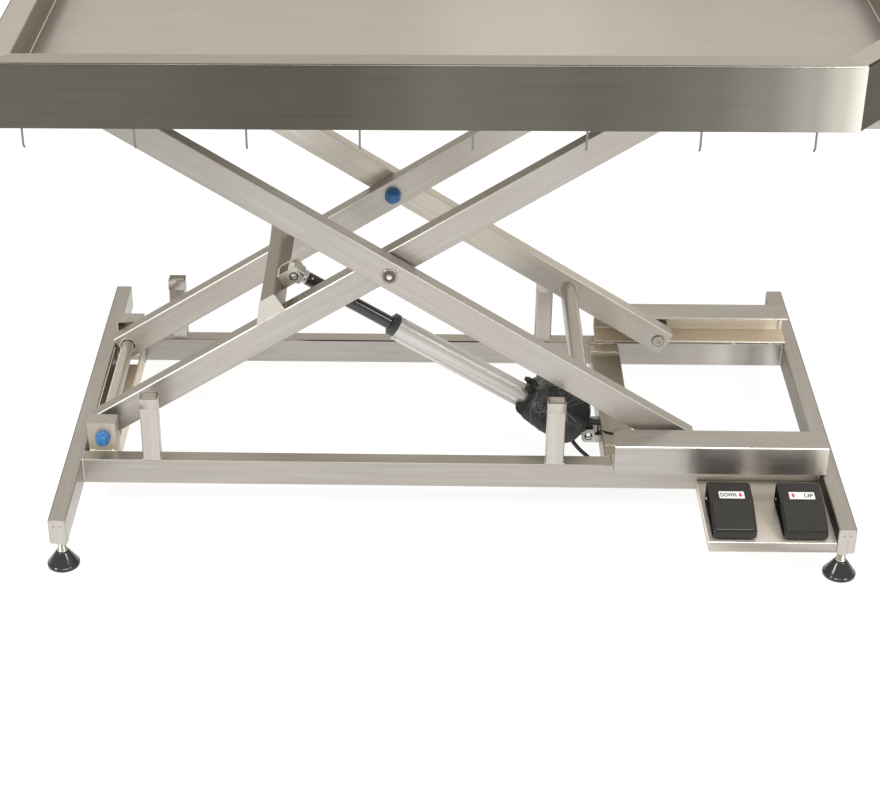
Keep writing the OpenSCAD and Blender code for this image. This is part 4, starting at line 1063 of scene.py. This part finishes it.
def build_rod_end():
    """Plated eye on the piston, turned at the shank and cheeked at the pin."""
    end = along_act("rod_end")[1]
    half, r = 11.2, 10.4
    outline = [polar(r, math.pi / 2 + math.pi * k / 14) for k in range(15)]
    outline += [(12, -r), (15, -r + 1.5), (15, r - 1.5), (12, r)]
    bm = bmesh.new()
    prism(bm, outline, on_act(0, half, 0), ACT_DIR, ACT_UP, 2 * half, 1.4, 3)
    lathe(bm, ROD, ACT_DIR, soft([(14, 0), (14, 10.8), (end - 1.2, 10.8), (end, 10.2), (end, 0)], 0.8), 48)
    piece("rod_end_form", bm, chrome, "rod_end", along=ACT_DIR)


FORK_GAP, FORK_T, FORK_REACH, FORK_LOW, FORK_HIGH = 24, 4, 22, -10.5, 11.2
LUG_IN, LUG_OUT, LUG_HOLE = 17, 21, 6.2


def build_mounts():
    """The fork on the crossbar, with its pin and rings."""
    gap, thick, reach = FORK_GAP, FORK_T, FORK_REACH
    bm = bmesh.new()
    plates = ((-1, soft(box_outline(-reach, FORK_LOW, 10, FORK_HIGH), 1.2, True, 3)),
              (1, soft(box_outline(-reach, -12, 12, 12), 9, True, 6)))
    for s, outline in plates:
        at = ROD + Y_AXIS * (s * (gap + thick) / 2 + thick / 2) * MM
        prism(bm, outline, at, ARM_DIR, ARM_UP, thick, 0.7)
    slab(bm, (-reach, -gap / 2 - 0.5, FORK_LOW), (-reach + thick, gap / 2 + 0.5, FORK_HIGH), 0.5, x=ARM_DIR,
         at=ROD)
    piece("rod_bracket_form", bm, zinc, "rod_bracket", along=ARM_DIR)
    face = gap / 2 + thick
    right = [(face, 5), (face + 0.6, 4.6), (face + 1.2, 3.6), (face + 1.6, 0)]
    pin = [(-h, r) for h, r in right[::-1]] + right
    lathed("rod_pin_form", ROD, Y_AXIS, soft(pin, 0.5, steps=2), bright, nodes="rod_pin", along=Y_AXIS)
    bm = bmesh.new()
    ring = [(face - 0.3, 5.05), (face - 0.3, 6.6), (face + 0.5, 6.4), (face + 0.5, 5.05)]
    for s in (-1, 1):
        lathe(bm, ROD, Y_AXIS * s, soft(ring, 0.2, True, 2), 48, True)
    piece("rod_pin_rings", bm, black, body=BODY_OF["rod_pin"], along=Y_AXIS)


def build_lugs():
    """The two plates on the cross member that hold the rear pin."""
    long = mm(high("actuator_lugs").x - EYE.x)
    rim = soft([(-6, -10), (long, -10), (long, 10), (-6, 10), (-10, 6), (-10, -6)], 1.2, True, 3)
    hole = [polar(LUG_HOLE, t) for t in turns(32)]
    bm = bmesh.new()
    for s in (-1, 1):
        sides = []
        for y in (s * LUG_IN, s * LUG_OUT):
            loops = [[bm.verts.new(EYE + Vector((x, y, z)) * MM) for x, z in line] for line in (rim, hole)]
            edges = [bm.edges.new((g[k], g[(k + 1) % len(g)])) for g in loops for k in range(len(g))]
            bmesh.ops.triangle_fill(bm, edges=edges, use_beauty=True, use_dissolve=False)
            sides.append(loops)
        for near, far in zip(*sides):
            join_rings(bm, [near, far])
    bmesh.ops.recalc_face_normals(bm, faces=bm.faces[:])
    piece("lug_plates", bm, lug_zinc, "actuator_lugs")


# The cover over the gearbox and the motor: its pulled star and rumpled patch, as places along the actuator
# and above its axis, and the shapes that it is drawn over, all in mm
STAR, RUMPLE = (436, 22), (402, 9)
SEAM = [(398, 27), (400.5, 19), (400.8, 11), (404.6, -2), (411, -13), (418, -22), (424, -27)]
RAYS = [[(441, 26), (453, 20.3), (471, 9)], [(441, 25), (456, 16), (470, 2.4)],
        [(446, 25), (471, 17), (484, 6.5)], [(441, 25), (459, 11.6), (472, -5)],
        [(441, 26), (450, 24.6), (479, 16)]]
WRINKLES = [
    [(403, 9), (407, 19), (409, 8), (413, 18), (414, 6), (418, 17), (419, 4), (423, 13), (424, 3), (428, 9)],
    [(405, 3), (411, -1), (416, 3), (421, -3)],
    [(430, 22), (424, 24), (419, 22), (413, 25)]]
MOTOR_FRONT, MOTOR_BACK, MOTOR_ROUND = -34, 28, 4
MOTOR_MIDDLE = Vector((164, 0, 104))
MOTOR_OUTLINE = [(134, 79), (142, 71), (152, 64), (161, 60.5), (170, 60), (179, 65), (186, 72), (192, 81),
                 (197, 90), (200.5, 99), (201.5, 112), (200.5, 129), (192, 139), (176, 150), (156, 158),
                 (134, 158), (126, 130)]
GEAR_HALF = 23.6
GRID, SMOOTH_ROUNDS = 1.5, 10


def strand(bm, tree, line, radius):
    """A fine line laid on the cover's front, through places along the actuator and above it."""
    hits = [tree.ray_cast(on_act(x, -60, y), Y_AXIS)[0] for x, y in soft(line, 3, steps=4)]
    sweep(bm, [hit for hit in hits if hit], radius, 8)


def cover_blank():
    """A smooth hull round the gearbox and the motor, with an even fine mesh."""
    gear_a, gear_b = along_act("gearbox_housing")
    bm = bmesh.new()
    for s, up_lo, up_hi in ((gear_a + 12, -21, 26), (gear_a + 22, -26, 27), (gear_b - 2, -27, 28)):
        for y in (-GEAR_HALF, GEAR_HALF):
            for up in (up_lo, up_hi):
                bm.verts.new(on_act(s, y, up))
    for x, z in MOTOR_OUTLINE:
        for y, share in ((MOTOR_FRONT, 0.93), (MOTOR_FRONT + MOTOR_ROUND, 1), (MOTOR_BACK - MOTOR_ROUND, 1),
                         (MOTOR_BACK, 0.93)):
            at = MOTOR_MIDDLE.lerp(Vector((x, 0, z)), share)
            at.y = mm(ROD.y) + y
            bm.verts.new(at * MM)
    bmesh.ops.convex_hull(bm, input=bm.verts[:])
    bmesh.ops.delete(bm, geom=[v for v in bm.verts if not v.link_faces], context="VERTS")
    mesh = bpy.data.meshes.new("cover_blank")
    bm.to_mesh(mesh)
    bm.free()

    def grid(o):
        m = o.modifiers.new("grid", "REMESH")
        m.mode = "VOXEL"
        m.voxel_size = GRID * MM

    bm = baked("cover_blank", mesh, grid)
    for _ in range(SMOOTH_ROUNDS):
        bmesh.ops.smooth_vert(bm, verts=bm.verts[:], factor=0.5, use_axis_x=True, use_axis_y=True,
                              use_axis_z=True)
    bm.normal_update()
    return bm


def ridge_noise(place, sharp, power=1):
    """Noise folded into ridges: 1 on a ridge and 0 between them."""
    return max(0.0, 1 - abs(noise.noise(Vector(place))) * sharp) ** power


def crease_cover(bm):
    """Moves the cover's points out at its creases, and stores how much painted highlight each one gets."""
    layer = bm.verts.layers.float.new("crease")
    for v in bm.verts:
        d = v.co - ROD
        s, up, side = mm(d.dot(ACT_DIR)), mm(d.dot(ACT_UP)), mm(d.y)
        x, y = s - STAR[0], up - STAR[1]
        r, turn = math.hypot(x, y), math.atan2(y, x)
        front = max(0.0, -v.normal.y)
        fan = ridge_noise((math.cos(turn) * 3.4, math.sin(turn) * 3.4, r * 0.01), 4.2, 2)
        fade = min(1.0, r / 3) * max(0.0, 1 - r / 46)
        long = ridge_noise((s * 0.03, up * 0.11 + side * 0.05, side * 0.10), 3, 3)
        near = max(0.0, 1 - math.hypot((s - RUMPLE[0]) / 19, (up - RUMPLE[1]) / 15)) * front
        rumple = ridge_noise((s * 0.21, up * 0.21, 7.0), 5.5) * near
        swell = noise.noise(Vector((s * 0.045, up * 0.045, side * 0.045)))
        rise = 2.0 * fan * fade * front + 1.3 * long * (1 - front) + 1.1 * rumple + swell - 1.0
        v.co += v.normal * rise * MM
        v[layer] = min(1.0, front * (0.85 * fan ** 3 * fade ** 2 * max(0.0, 1 - r / 24) + 0.55 * rumple ** 2))


def build_cover():
    """The plastic cover drawn over the gearbox and the motor, with its seam and creases."""
    bm = cover_blank()
    crease_cover(bm)
    tree = BVHTree.FromBMesh(bm)
    o = piece("motor_cover", bm, wrap, ("motor_housing", "gearbox_housing"), along=ACT_DIR, smooth=0)
    o.data.shade_smooth()
    seams, creases = bmesh.new(), bmesh.new()
    strand(seams, tree, SEAM, 0.9)
    for line in RAYS:
        strand(creases, tree, line, lambda share: 0.55 - 0.42 * share)
    for line in WRINKLES:
        strand(creases, tree, line, 0.26)
    for bm, name, material in ((seams, "cover_seam", seam_highlight_grey), (creases, "cover_creases", crease_highlight_grey)):
        piece(name, bm, material, body="actuator_body", along=ACT_DIR)


EYE_HALF, EYE_R, EYE_NECK, REAR_PIN_HALF, REAR_PIN_R = 11, 9, 468, 16.4, 3.4


def build_gear_front():
    a, b = along_act("gearbox_housing")
    outline = [(a + 13, 24), (a + 8, 14), (a + 8, -3), (a + 1, -9), (a + 1, -14), (a + 6, -19), (a + 34, -26),
               (b, -25), (b, 23), (a + 26, 25)]
    bm = bmesh.new()
    prism(bm, soft(outline, 2, True, 3), on_act(0, 22.6, 0), ACT_DIR, ACT_UP, 45.2, 1.2, 3)
    for k in range(3):
        s = a + 16 + 7 * k
        slab(bm, (s, -18, 23.4), (s + 2.4, 18, 27.6), 0.7, x=ACT_DIR, at=ROD)
    boss = [(0, 0), (0, 4.6), (11, 4.6), (13, 3.4), (15.5, 3.2), (15.5, 0)]
    for side in (-13, 13):
        lathe(bm, on_act(a + 14, side, 19), -ACT_DIR, soft(boss, 0.4), 24)
    piece("gear_front", bm, black, body="actuator_body", along=ACT_DIR)


def build_rear_eye():
    eye = mm((EYE - ROD).length)
    bm = bmesh.new()
    slab(bm, (EYE_NECK, -EYE_HALF, -EYE_R), (eye, EYE_HALF, EYE_R), 1.0, x=ACT_DIR, at=ROD)
    lathe(bm, on_act(eye, 0, 0), Y_AXIS, soft(rod(EYE_HALF, EYE_R), 0.8), 48)
    piece("rear_eye", bm, black, body="actuator_body", along=ACT_DIR)
    lathed("rear_pin", on_act(eye, 0, 0), Y_AXIS, soft(rod(REAR_PIN_HALF, REAR_PIN_R), 0.5), chrome, 32,
           body="actuator_body", along=Y_AXIS)


def build_motor_side():
    """The block, pin and strap by the lugs."""
    bm = bmesh.new()
    slab(bm, (198, -91, 93), (217.6, -78, 96), 0.8, 3)
    slab(bm, (209, -93, 76.5), (219, -84, 79), 0.8, 3)
    piece("limit_block", bm, black, body="base")
    lathed("limit_pin", Vector((211.5, -87, 76)) * MM, Z_AXIS,
           soft([(0, 0), (0, 3), (8, 3.6), (17.6, 3.6), (17.6, 0)], 0.5), pin_steel, 32, body="base",
           along=Z_AXIS)
    path = soft([(211, -90.2, 76), (216, -91.5, 80), (219.5, -97, 87.5), (223, -103, 89.2),
                 (240, -109, 89.2)], 4, steps=4)
    bar("cable_tie", [q * MM for q in path], 1.1, rubber, 10, body="base")


# The motor's lead, on the route that the solids give
LEAD_D = 6
LEAD_ROUTE = [(171.1, -85, 72), (174.5, -85, 66), (179, -87, 60), (184, -92, 55.5), (189, -98, 53),
              (194, -106, 52.5), (198, -116, 54), (201, -128, 57.5), (203, -141, 62), (204, -154, 65.5),
              (204, -167, 66)]


def build_lead():
    """The lead and its grommet in the rail."""
    pts = [Vector(q) * MM for q in LEAD_ROUTE]
    curve = bpy.data.curves.new("motor_lead_curve", "CURVE")
    curve.dimensions = "3D"
    curve.bevel_depth = LEAD_D / 2 * MM
    curve.bevel_resolution = 5
    curve.resolution_u = 6
    curve.use_fill_caps = True
    line = curve.splines.new("NURBS")
    line.points.add(len(pts) - 1)
    for q, at in zip(line.points, pts):
        q.co = (*at, 1)
    line.use_endpoint_u = True
    line.order_u = 3
    curve.materials.append(rubber)
    o = add_object("motor_lead_curve", curve)
    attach(o, "base")
    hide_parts("motor_lead")
    ring = [(-0.2, 3), (-0.2, 6.5), (1.8, 6.5), (3, 5), (3, 3)]
    lathed("lead_grommet", pts[-1], Y_AXIS, soft(ring, 0.5, True, 2), rubber, 32, True,
           body="base", along=Y_AXIS)


# Foot switches: the bend in a pedal's top lies this far from its back edge and below it, in mm
BEND_BACK, BEND_DROP, TOE_H, COVER_WALL, COVER_EDGE, COVER_R = 44, 2.1, 9.5, 2.5, 2.6, 5.0
COVER_GROWS = Vector((-0.5, -2.5, -0.5)), Vector((3.5, 2.5, 0.5))
LABEL_W, LABEL_H, WORD_H, LETTER_FAT = 35, 16, 9.2, 0.022
SWITCH_IN, SWITCH_T = 3.5, 4

# Each pedal's word with its place and width on the label, and its arrow's place and direction
PEDALS = {"down_pedal": ("DOWN", 1.8, 22, 29.5, -1), "up_pedal": ("UP", 20.5, 12.5, 5.4, 1)}


def pedal_shell(bm, lo, hi):
    """A hollow cover with round corners, whose top slopes up from the toe and then runs nearly level.
    Gives a point and a direction on each of the top's two slopes."""
    x0, y0, z0 = (mm(v) for v in lo)
    x1, y1, z1 = (mm(v) for v in hi)
    bend = y1 - BEND_BACK
    line = [(y0, z0 + TOE_H), (bend, z1 - BEND_DROP), (y1, z1)]

    def top(y):
        (ya, za), (yb, zb) = line[:2] if y < bend else line[1:]
        return za + (zb - za) * (y - ya) / (yb - ya) - (0.35 if abs(y - bend) < 1 else 0)

    def ring(inset, drop=0.0, level=None):
        r = max(COVER_R - inset, 0.8)
        a, b, c, d = x0 + inset, x1 - inset, y0 + inset, y1 - inset
        points = []
        for cx, cy, start in ((a + r, c + r, 180), (b - r, c + r, 270),
                              (b - r, d - r, 0), (a + r, d - r, 90)):
            if start == 0:
                points += [(b, bend + k) for k in (-4, 0, 4)]
            turn = [math.radians(start + 18 * k) for k in range(6)]
            points += [(cx + r * math.cos(t), cy + r * math.sin(t)) for t in turn]
        points += [(a, bend + k) for k in (4, 0, -4)]
        return [bm.verts.new(Vector((x, y, top(y) - drop if level is None else level)) * MM)
                for x, y in points]

    def cap(r):
        for face in ([r[29]] + r[:13], [r[12], r[13], r[28], r[29]], [r[13], r[14], r[27], r[28]], r[14:28]):
            bm.faces.new(face)

    arcs = [ring(COVER_EDGE * (1 - math.cos(t)), COVER_EDGE * (1 - math.sin(t)))
            for t in (math.pi / 2 * k / 5 for k in range(6))]
    rings = [ring(COVER_WALL, COVER_WALL), ring(COVER_WALL, level=z0), ring(0.5, level=z0),
             ring(0, level=z0 + 0.6)] + arcs
    join_rings(bm, rings)
    cap(rings[0])
    cap(rings[-1])
    bmesh.ops.recalc_face_normals(bm, faces=bm.faces[:])
    slope = Vector((0, bend - y0, z1 - BEND_DROP - z0 - TOE_H))
    level = Vector((0, y1 - bend, BEND_DROP))
    return Vector((x0, y0, z0 + TOE_H)) * MM, slope, Vector((x0, bend, z1 - BEND_DROP)) * MM, level


def lettering(word, at, u, v, width, height):
    """A generic word as thin raised letters, with its lower left corner at a point."""
    curve = bpy.data.curves.new("letters", "FONT")
    curve.body = word
    curve.extrude = 0.02
    curve.offset = LETTER_FAT
    curve.resolution_u = 4
    bm = baked("letters", curve)
    bmesh.ops.remove_doubles(bm, verts=bm.verts, dist=1e-5)
    xs, ys = [q.co.x for q in bm.verts], [q.co.y for q in bm.verts]
    w = u.cross(v)
    for q in bm.verts:
        a, b = (q.co.x - min(xs)) / (max(xs) - min(xs)), (q.co.y - min(ys)) / (max(ys) - min(ys))
        q.co = at + (u * a * width + v * b * height + w * (0.12 if q.co.z > 0 else -0.2)) * MM
    return bm


def build_label(node, at, v):
    """A white label with a word and an arrow, its lower left corner at a point."""
    word, word_x, word_w, arrow_x, s = PEDALS[node]
    up, body = X_AXIS.cross(v), BODY_OF[node]
    plate(node + ".label", soft(box_outline(0, 0, LABEL_W, LABEL_H), 1.0, True, 3), at - up * 0.2 * MM, v,
          0.65, 0.15, 2, label_white, body=body)
    face = at + up * 0.45 * MM
    piece(node + ".word", lettering(word, face + (X_AXIS * word_x + v * 3.4) * MM, X_AXIS, v, word_w, WORD_H),
          ink_black, body=body, smooth=0)
    arrow = [(-1.3, -5 * s), (1.3, -5 * s), (1.3, 0), (3.2, 0), (0, 5.2 * s), (-3.2, 0), (-1.3, 0)]
    plate(node + ".arrow", arrow, face + (X_AXIS * arrow_x + v * 8 - up * 0.2) * MM, v, 0.35, 0, 2, ink_red,
          body=body, smooth=0)


def build_pedal(node):
    lo, hi = low(node) + COVER_GROWS[0] * MM, high(node) + COVER_GROWS[1] * MM
    width, body = mm(hi.x - lo.x), BODY_OF[node]
    bm = bmesh.new()
    toe, slope, ridge, level = pedal_shell(bm, lo, hi)
    # The pedal's left side is painted shade
    paint(piece(node + ".cover", bm, black, node, along=Y_AXIS, smooth=40), side_shade_black,
          lambda n, c: n.x < -0.8)
    v = slope.normalized()
    up = X_AXIS.cross(v)
    outline = soft(box_outline(3.6, 4.4, width - 2.6, slope.length - 3), 3.2, True, 5)
    plate(node + ".tread", outline, toe - up * 0.5 * MM, v, 1.5, 0.6, 3, tread, body=body)
    rim = [toe + (X_AXIS * a + v * b + up * 0.75) * MM for a, b in outline]
    bar(node + ".tread_rim", rim + rim[:1], 0.45, gloss, 8, body=body)
    line = [(4.2, 6.5), (3.4, 1.6), (5.2, 0.7), (width - 5.2, 0.7), (width - 3.4, 1.6), (width - 4.2, 6.5)]
    bar(node + ".toe_bar", soft([toe + (X_AXIS * a + v * b) * MM for a, b in line], 2 * MM, steps=4), 1.0,
        gloss, 10, body=body)
    v = level.normalized()
    build_label(node, ridge + (X_AXIS * (width / 2 - 16) + v * 4) * MM, v)


def build_switches():
    for node in PEDALS:
        build_pedal(node)
    plates, pins = bmesh.new(), bmesh.new()
    base = mm(low("foot_switch_bases").z)
    for node in PEDALS:
        hinge = pivot(node + "_hinge")
        x0, x1 = mm(low(node).x) + SWITCH_IN, mm(high(node).x) - SWITCH_IN
        y0, y1 = mm(low(node).y) + SWITCH_IN, mm(high(node).y) - SWITCH_IN
        slab(plates, (x0, y0, base), (x1, y1, base + SWITCH_T), 0.8, 3)
        for a in (x0, x1 - SWITCH_T):
            slab(plates, (a, mm(hinge.y) - 7, base + 3), (a + SWITCH_T, mm(hinge.y) + 7, base + 22), 1.0, 3)
        half, past = mm(high(node).x - low(node).x) / 2 + 1.5, COVER_GROWS[1].x + 1
        lathe(pins, hinge, X_AXIS, [(-half, 0), (-half, 1.3), (-half + 0.8, 2), (half + past - 0.8, 2),
                                    (half + past, 1.3), (half + past, 0)], 24)
    piece("switch_plates", plates, black, "foot_switch_bases")
    piece("switch_pins", pins, chrome, body=BODY_OF["foot_switch_bases"])


# Welds and bend lines
WELD_SEEDS = iter(range(1, 400))
WELD_STEP, WELD_RIPPLE = 0.55, 4


def weld(bm, path, radius, seed):
    """A weld bead: small overlapping ripples with uneven width."""
    line = []
    for a, b in zip(path, path[1:]):
        n = max(2, int((b - a).length / (WELD_STEP * MM)))
        line += [a.lerp(b, k / n) for k in range(n)]
    line.append(path[-1])
    rand = random.Random(seed)
    count = len(line) // WELD_RIPPLE + 3
    wide = [rand.uniform(0.8, 1.25) for _ in range(count)]
    drift = [Vector([rand.uniform(-0.4, 0.4) for _ in range(3)]) * MM for _ in range(count)]

    def at(values, i):
        k, f = i // WELD_RIPPLE, (i % WELD_RIPPLE) / WELD_RIPPLE
        return values[k] * (1 - f) + values[k + 1] * f

    def size(s):
        i = int(round(s * (len(line) - 1)))
        end = min(1.0, min(i, len(line) - 1 - i) / 3 + 0.35)
        return radius * at(wide, i) * (0.86 + 0.14 * math.cos(i * math.tau / WELD_RIPPLE)) * end

    sweep(bm, [p + at(drift, i) for i, p in enumerate(line)], size, 10)


def beads(name, body, lines, radius=1.3):
    """Weld beads along lines in mm, on both sides of the table's middle."""
    bm = bmesh.new()
    for line in lines:
        weld(bm, [Vector(q) * MM for q in line], radius, next(WELD_SEEDS))
    mirrored(bm)
    piece(name, bm, weld_steel, body=body, smooth=60)


def ring_line(at, r, y):
    """A closed ring round a member that lies across the table."""
    return [(mm(at.x) + r * math.cos(t), y, mm(at.z) + r * math.sin(t)) for t in turns(24) + [math.tau]]


CH_A, CH_B = mm(low("front_roller_channel").x), mm(high("front_roller_channel").x)
CH_Y, CH_TOP = -mm(low("front_roller_channel").y), mm(high("front_roller_channel").z)
BEND_IN = 4
TUBE_END = mm(high("front_rail").x)


def build_base_welds():
    left, right = mm(low("front_rail").x), TUBE_END
    lines = [[(x, -RAIL_OUT, BASE_Z + 1), (x, -RAIL_OUT, BASE_TOP), (x, -RAIL_IN, BASE_TOP)]
             for x in (left, right)]
    lines += [[(x, -RAIL_IN, BASE_TOP), (x, -RAIL_IN, BASE_Z + 1)] for x in (left, right)]
    lines.append([(mm(q.x), -RAIL_IN, BASE_TOP) for q in (low("pivot_blocks"), high("pivot_blocks"))])
    lines.append([(CH_A, -RAIL_OUT, BASE_TOP), (CH_A, -RAIL_IN, BASE_TOP)])
    lines.append([(CH_B, -CH_Y + BEND_IN, BASE_TOP), (CH_B, -RAIL_IN, BASE_TOP)])
    lines.append([(right - 1, -CH_Y + 5, BASE_TOP + 5), (right - 1, -CH_Y + 5, CH_TOP - 5)])
    lines += [[(x + d, -RAIL_IN, BASE_TOP + 0.3) for d in (-5, 5)] for x in (250, 340, 445, 505)]
    posts = sorted({round(mm(v.co.x)) for v in NODES["rest_posts"].data.vertices})
    post_in = min(abs(mm(v.co.y)) for v in NODES["rest_posts"].data.vertices)
    for a, b in ((posts[0], max(x for x in posts if x < 0)), (min(x for x in posts if x > 0), posts[-1])):
        lines.append([(a, -RAIL_OUT + 1, BASE_TOP), (a, -post_in, BASE_TOP), (b, -post_in, BASE_TOP),
                      (b, -RAIL_OUT + 1, BASE_TOP)])
    a, b = mm(low("actuator_cross_member").x), mm(high("actuator_cross_member").x)
    lines.append([(a + 1, -RAIL_IN, BASE_TOP - 1), (b - 1, -RAIL_IN, BASE_TOP - 1)])
    lines.append([(a + 0.6, -RAIL_IN + 29, BASE_TOP - 0.7), (b - 0.6, -RAIL_IN + 29, BASE_TOP - 0.7)])
    beads("base_welds", "base", lines)


def build_arm_welds():
    places = [v.co - LIFT_PIVOT for v in NODES["arm_crossbar"].data.vertices]
    along = [q.dot(ARM_DIR) for q in places]
    foot = min(q.dot(ARM_UP) for q in places)
    (x0, _, z0), (x1, _, z1) = (LIFT_PIVOT + ARM_DIR * s + ARM_UP * foot for s in (min(along), max(along)))
    a, b = (mm(x0), -INNER_OUT, mm(z0)), (mm(x1), -INNER_OUT, mm(z1))
    beads("crossbar_welds", "inner_arms", [[a, b], [b, (b[0], -INNER_IN, b[2])]], 0.9)
    beads("shaft_welds", "inner_arms", [ring_line(LIFT_PIVOT, 12.2, -INNER_IN + 0.2)], 1.5)
    beads("brace_welds", "outer_arms", [ring_line(middle("arm_brace_tube"), 12.9, -OUTER_IN + 0.3)], 1.0)


def build_bends():
    """Thin bars inside the folds of the roller channels, in a near-white finish: painted highlight lines."""
    bm = bmesh.new()
    for z in (BASE_TOP + BEND_IN + 0.2, CH_TOP - BEND_IN - 0.2):
        y = -CH_Y + BEND_IN + 0.2
        sweep(bm, [Vector((x, y, z)) * MM for x in (CH_A + 0.5, TUBE_END - 0.5)], 1.6, 8)
    mirrored(bm)
    piece("channel_bends", bm, arm_highlight_steel, body="base")


def build_top_welds():
    y_out, y_in = -mm(low("front_top_channel").y), -mm(high("front_top_channel").y)
    z = mm(high("front_top_channel").z)
    tubes = sorted({round(mm(v.co.x), 1) for v in NODES["top_cross_tubes"].data.vertices})
    lines = [[(x, -y_out + 3, z), (x, -y_in - 2, z)] for x in (tubes[0], tubes[-1])]
    lines += [[(*corner, FLOOR_Z + 1.5), (*corner, mm(high("tray_left_end").z) - 5)]
              for corner in tray_outline(RIM_W + 2.2)[:3]]
    beads("top_welds", "table_top", lines, 0.8)


def dress_hidden():
    """Parts inside others keep their CAD form."""
    dress("foot_switch_contacts", white)
    dress("lead_screw", bright, ACT_DIR)
    dress("drive_nut", white, ACT_DIR)


# Floor, world and lights
WORLD_TONES = [(0.0, (0.66, 0.62, 0.55)), (0.35, (0.84, 0.79, 0.70)), (0.7, (0.84, 0.82, 0.77)),
               (1.0, (0.80, 0.81, 0.81))]
FLOOR_HALF, FLOOR_GLOW = 14, 0.84
LIGHTS = {"overhead": ((0, -1.9, 3.4), (2.2, 0.55), 60), "left": ((-2.6, -1.7, 2.3), (0.7, 0.7), 36),
          "right": ((2.2, -1.9, 2.4), (0.9, 0.7), 32)}
LIT_POINT = Vector((0, 0, 0.3))


def make_world():
    world = bpy.data.worlds.new("world")
    bpy.context.scene.world = world
    world.use_nodes = True
    tree = world.node_tree
    kinds = ("TexCoord", "SeparateXYZ", "ValToRGB")
    co, split, ramp = (tree.nodes.new("ShaderNode" + kind) for kind in kinds)
    tree.links.new(co.outputs["Generated"], split.inputs[0])
    tree.links.new(split.outputs[2], ramp.inputs[0])
    tree.links.new(ramp.outputs[0], tree.nodes["Background"].inputs[0])
    tree.nodes["Background"].inputs[1].default_value = 1.0
    set_stops(ramp, [(at, rgb(*tone)) for at, tone in WORLD_TONES])


def make_stage():
    g = Graph("floor")
    g.put(Base_Color=rgb(0.25, 0.25, 0.25), Roughness=0.85, Specular_IOR_Level=0.1,
          Emission_Color=rgb(1, 1, 1), Emission_Strength=FLOOR_GLOW)
    bm = bmesh.new()
    bm.faces.new([bm.verts.new((x, y, 0)) for x, y in box_outline(-FLOOR_HALF, -FLOOR_HALF, FLOOR_HALF,
                                                                  FLOOR_HALF)])
    floor = link_mesh("floor", bm, g.mat, 0)
    make_world()
    view = bpy.context.scene.view_settings
    view.view_transform = "Standard"
    view.look = "None"


def make_lights():
    for name, (at, size, power) in LIGHTS.items():
        data = bpy.data.lights.new(name, "AREA")
        data.shape = "RECTANGLE"
        data.size, data.size_y = size
        data.energy = power
        o = add_object(name, data)
        o.location = at
        o.rotation_euler = (LIT_POINT - Vector(at)).to_track_quat("-Z", "Y").to_euler()


make_camera()
make_stage()
make_lights()
for build in (build_frame, build_tray, build_hooks, build_turned, build_end_plates, build_feet, build_tube,
              build_piston, build_rod_end, build_mounts, build_lugs, build_cover, build_gear_front,
              build_rear_eye, build_motor_side, build_switches, build_base_welds, build_arm_welds,
              build_bends, build_top_welds, build_lead, dress_hidden):
    build()
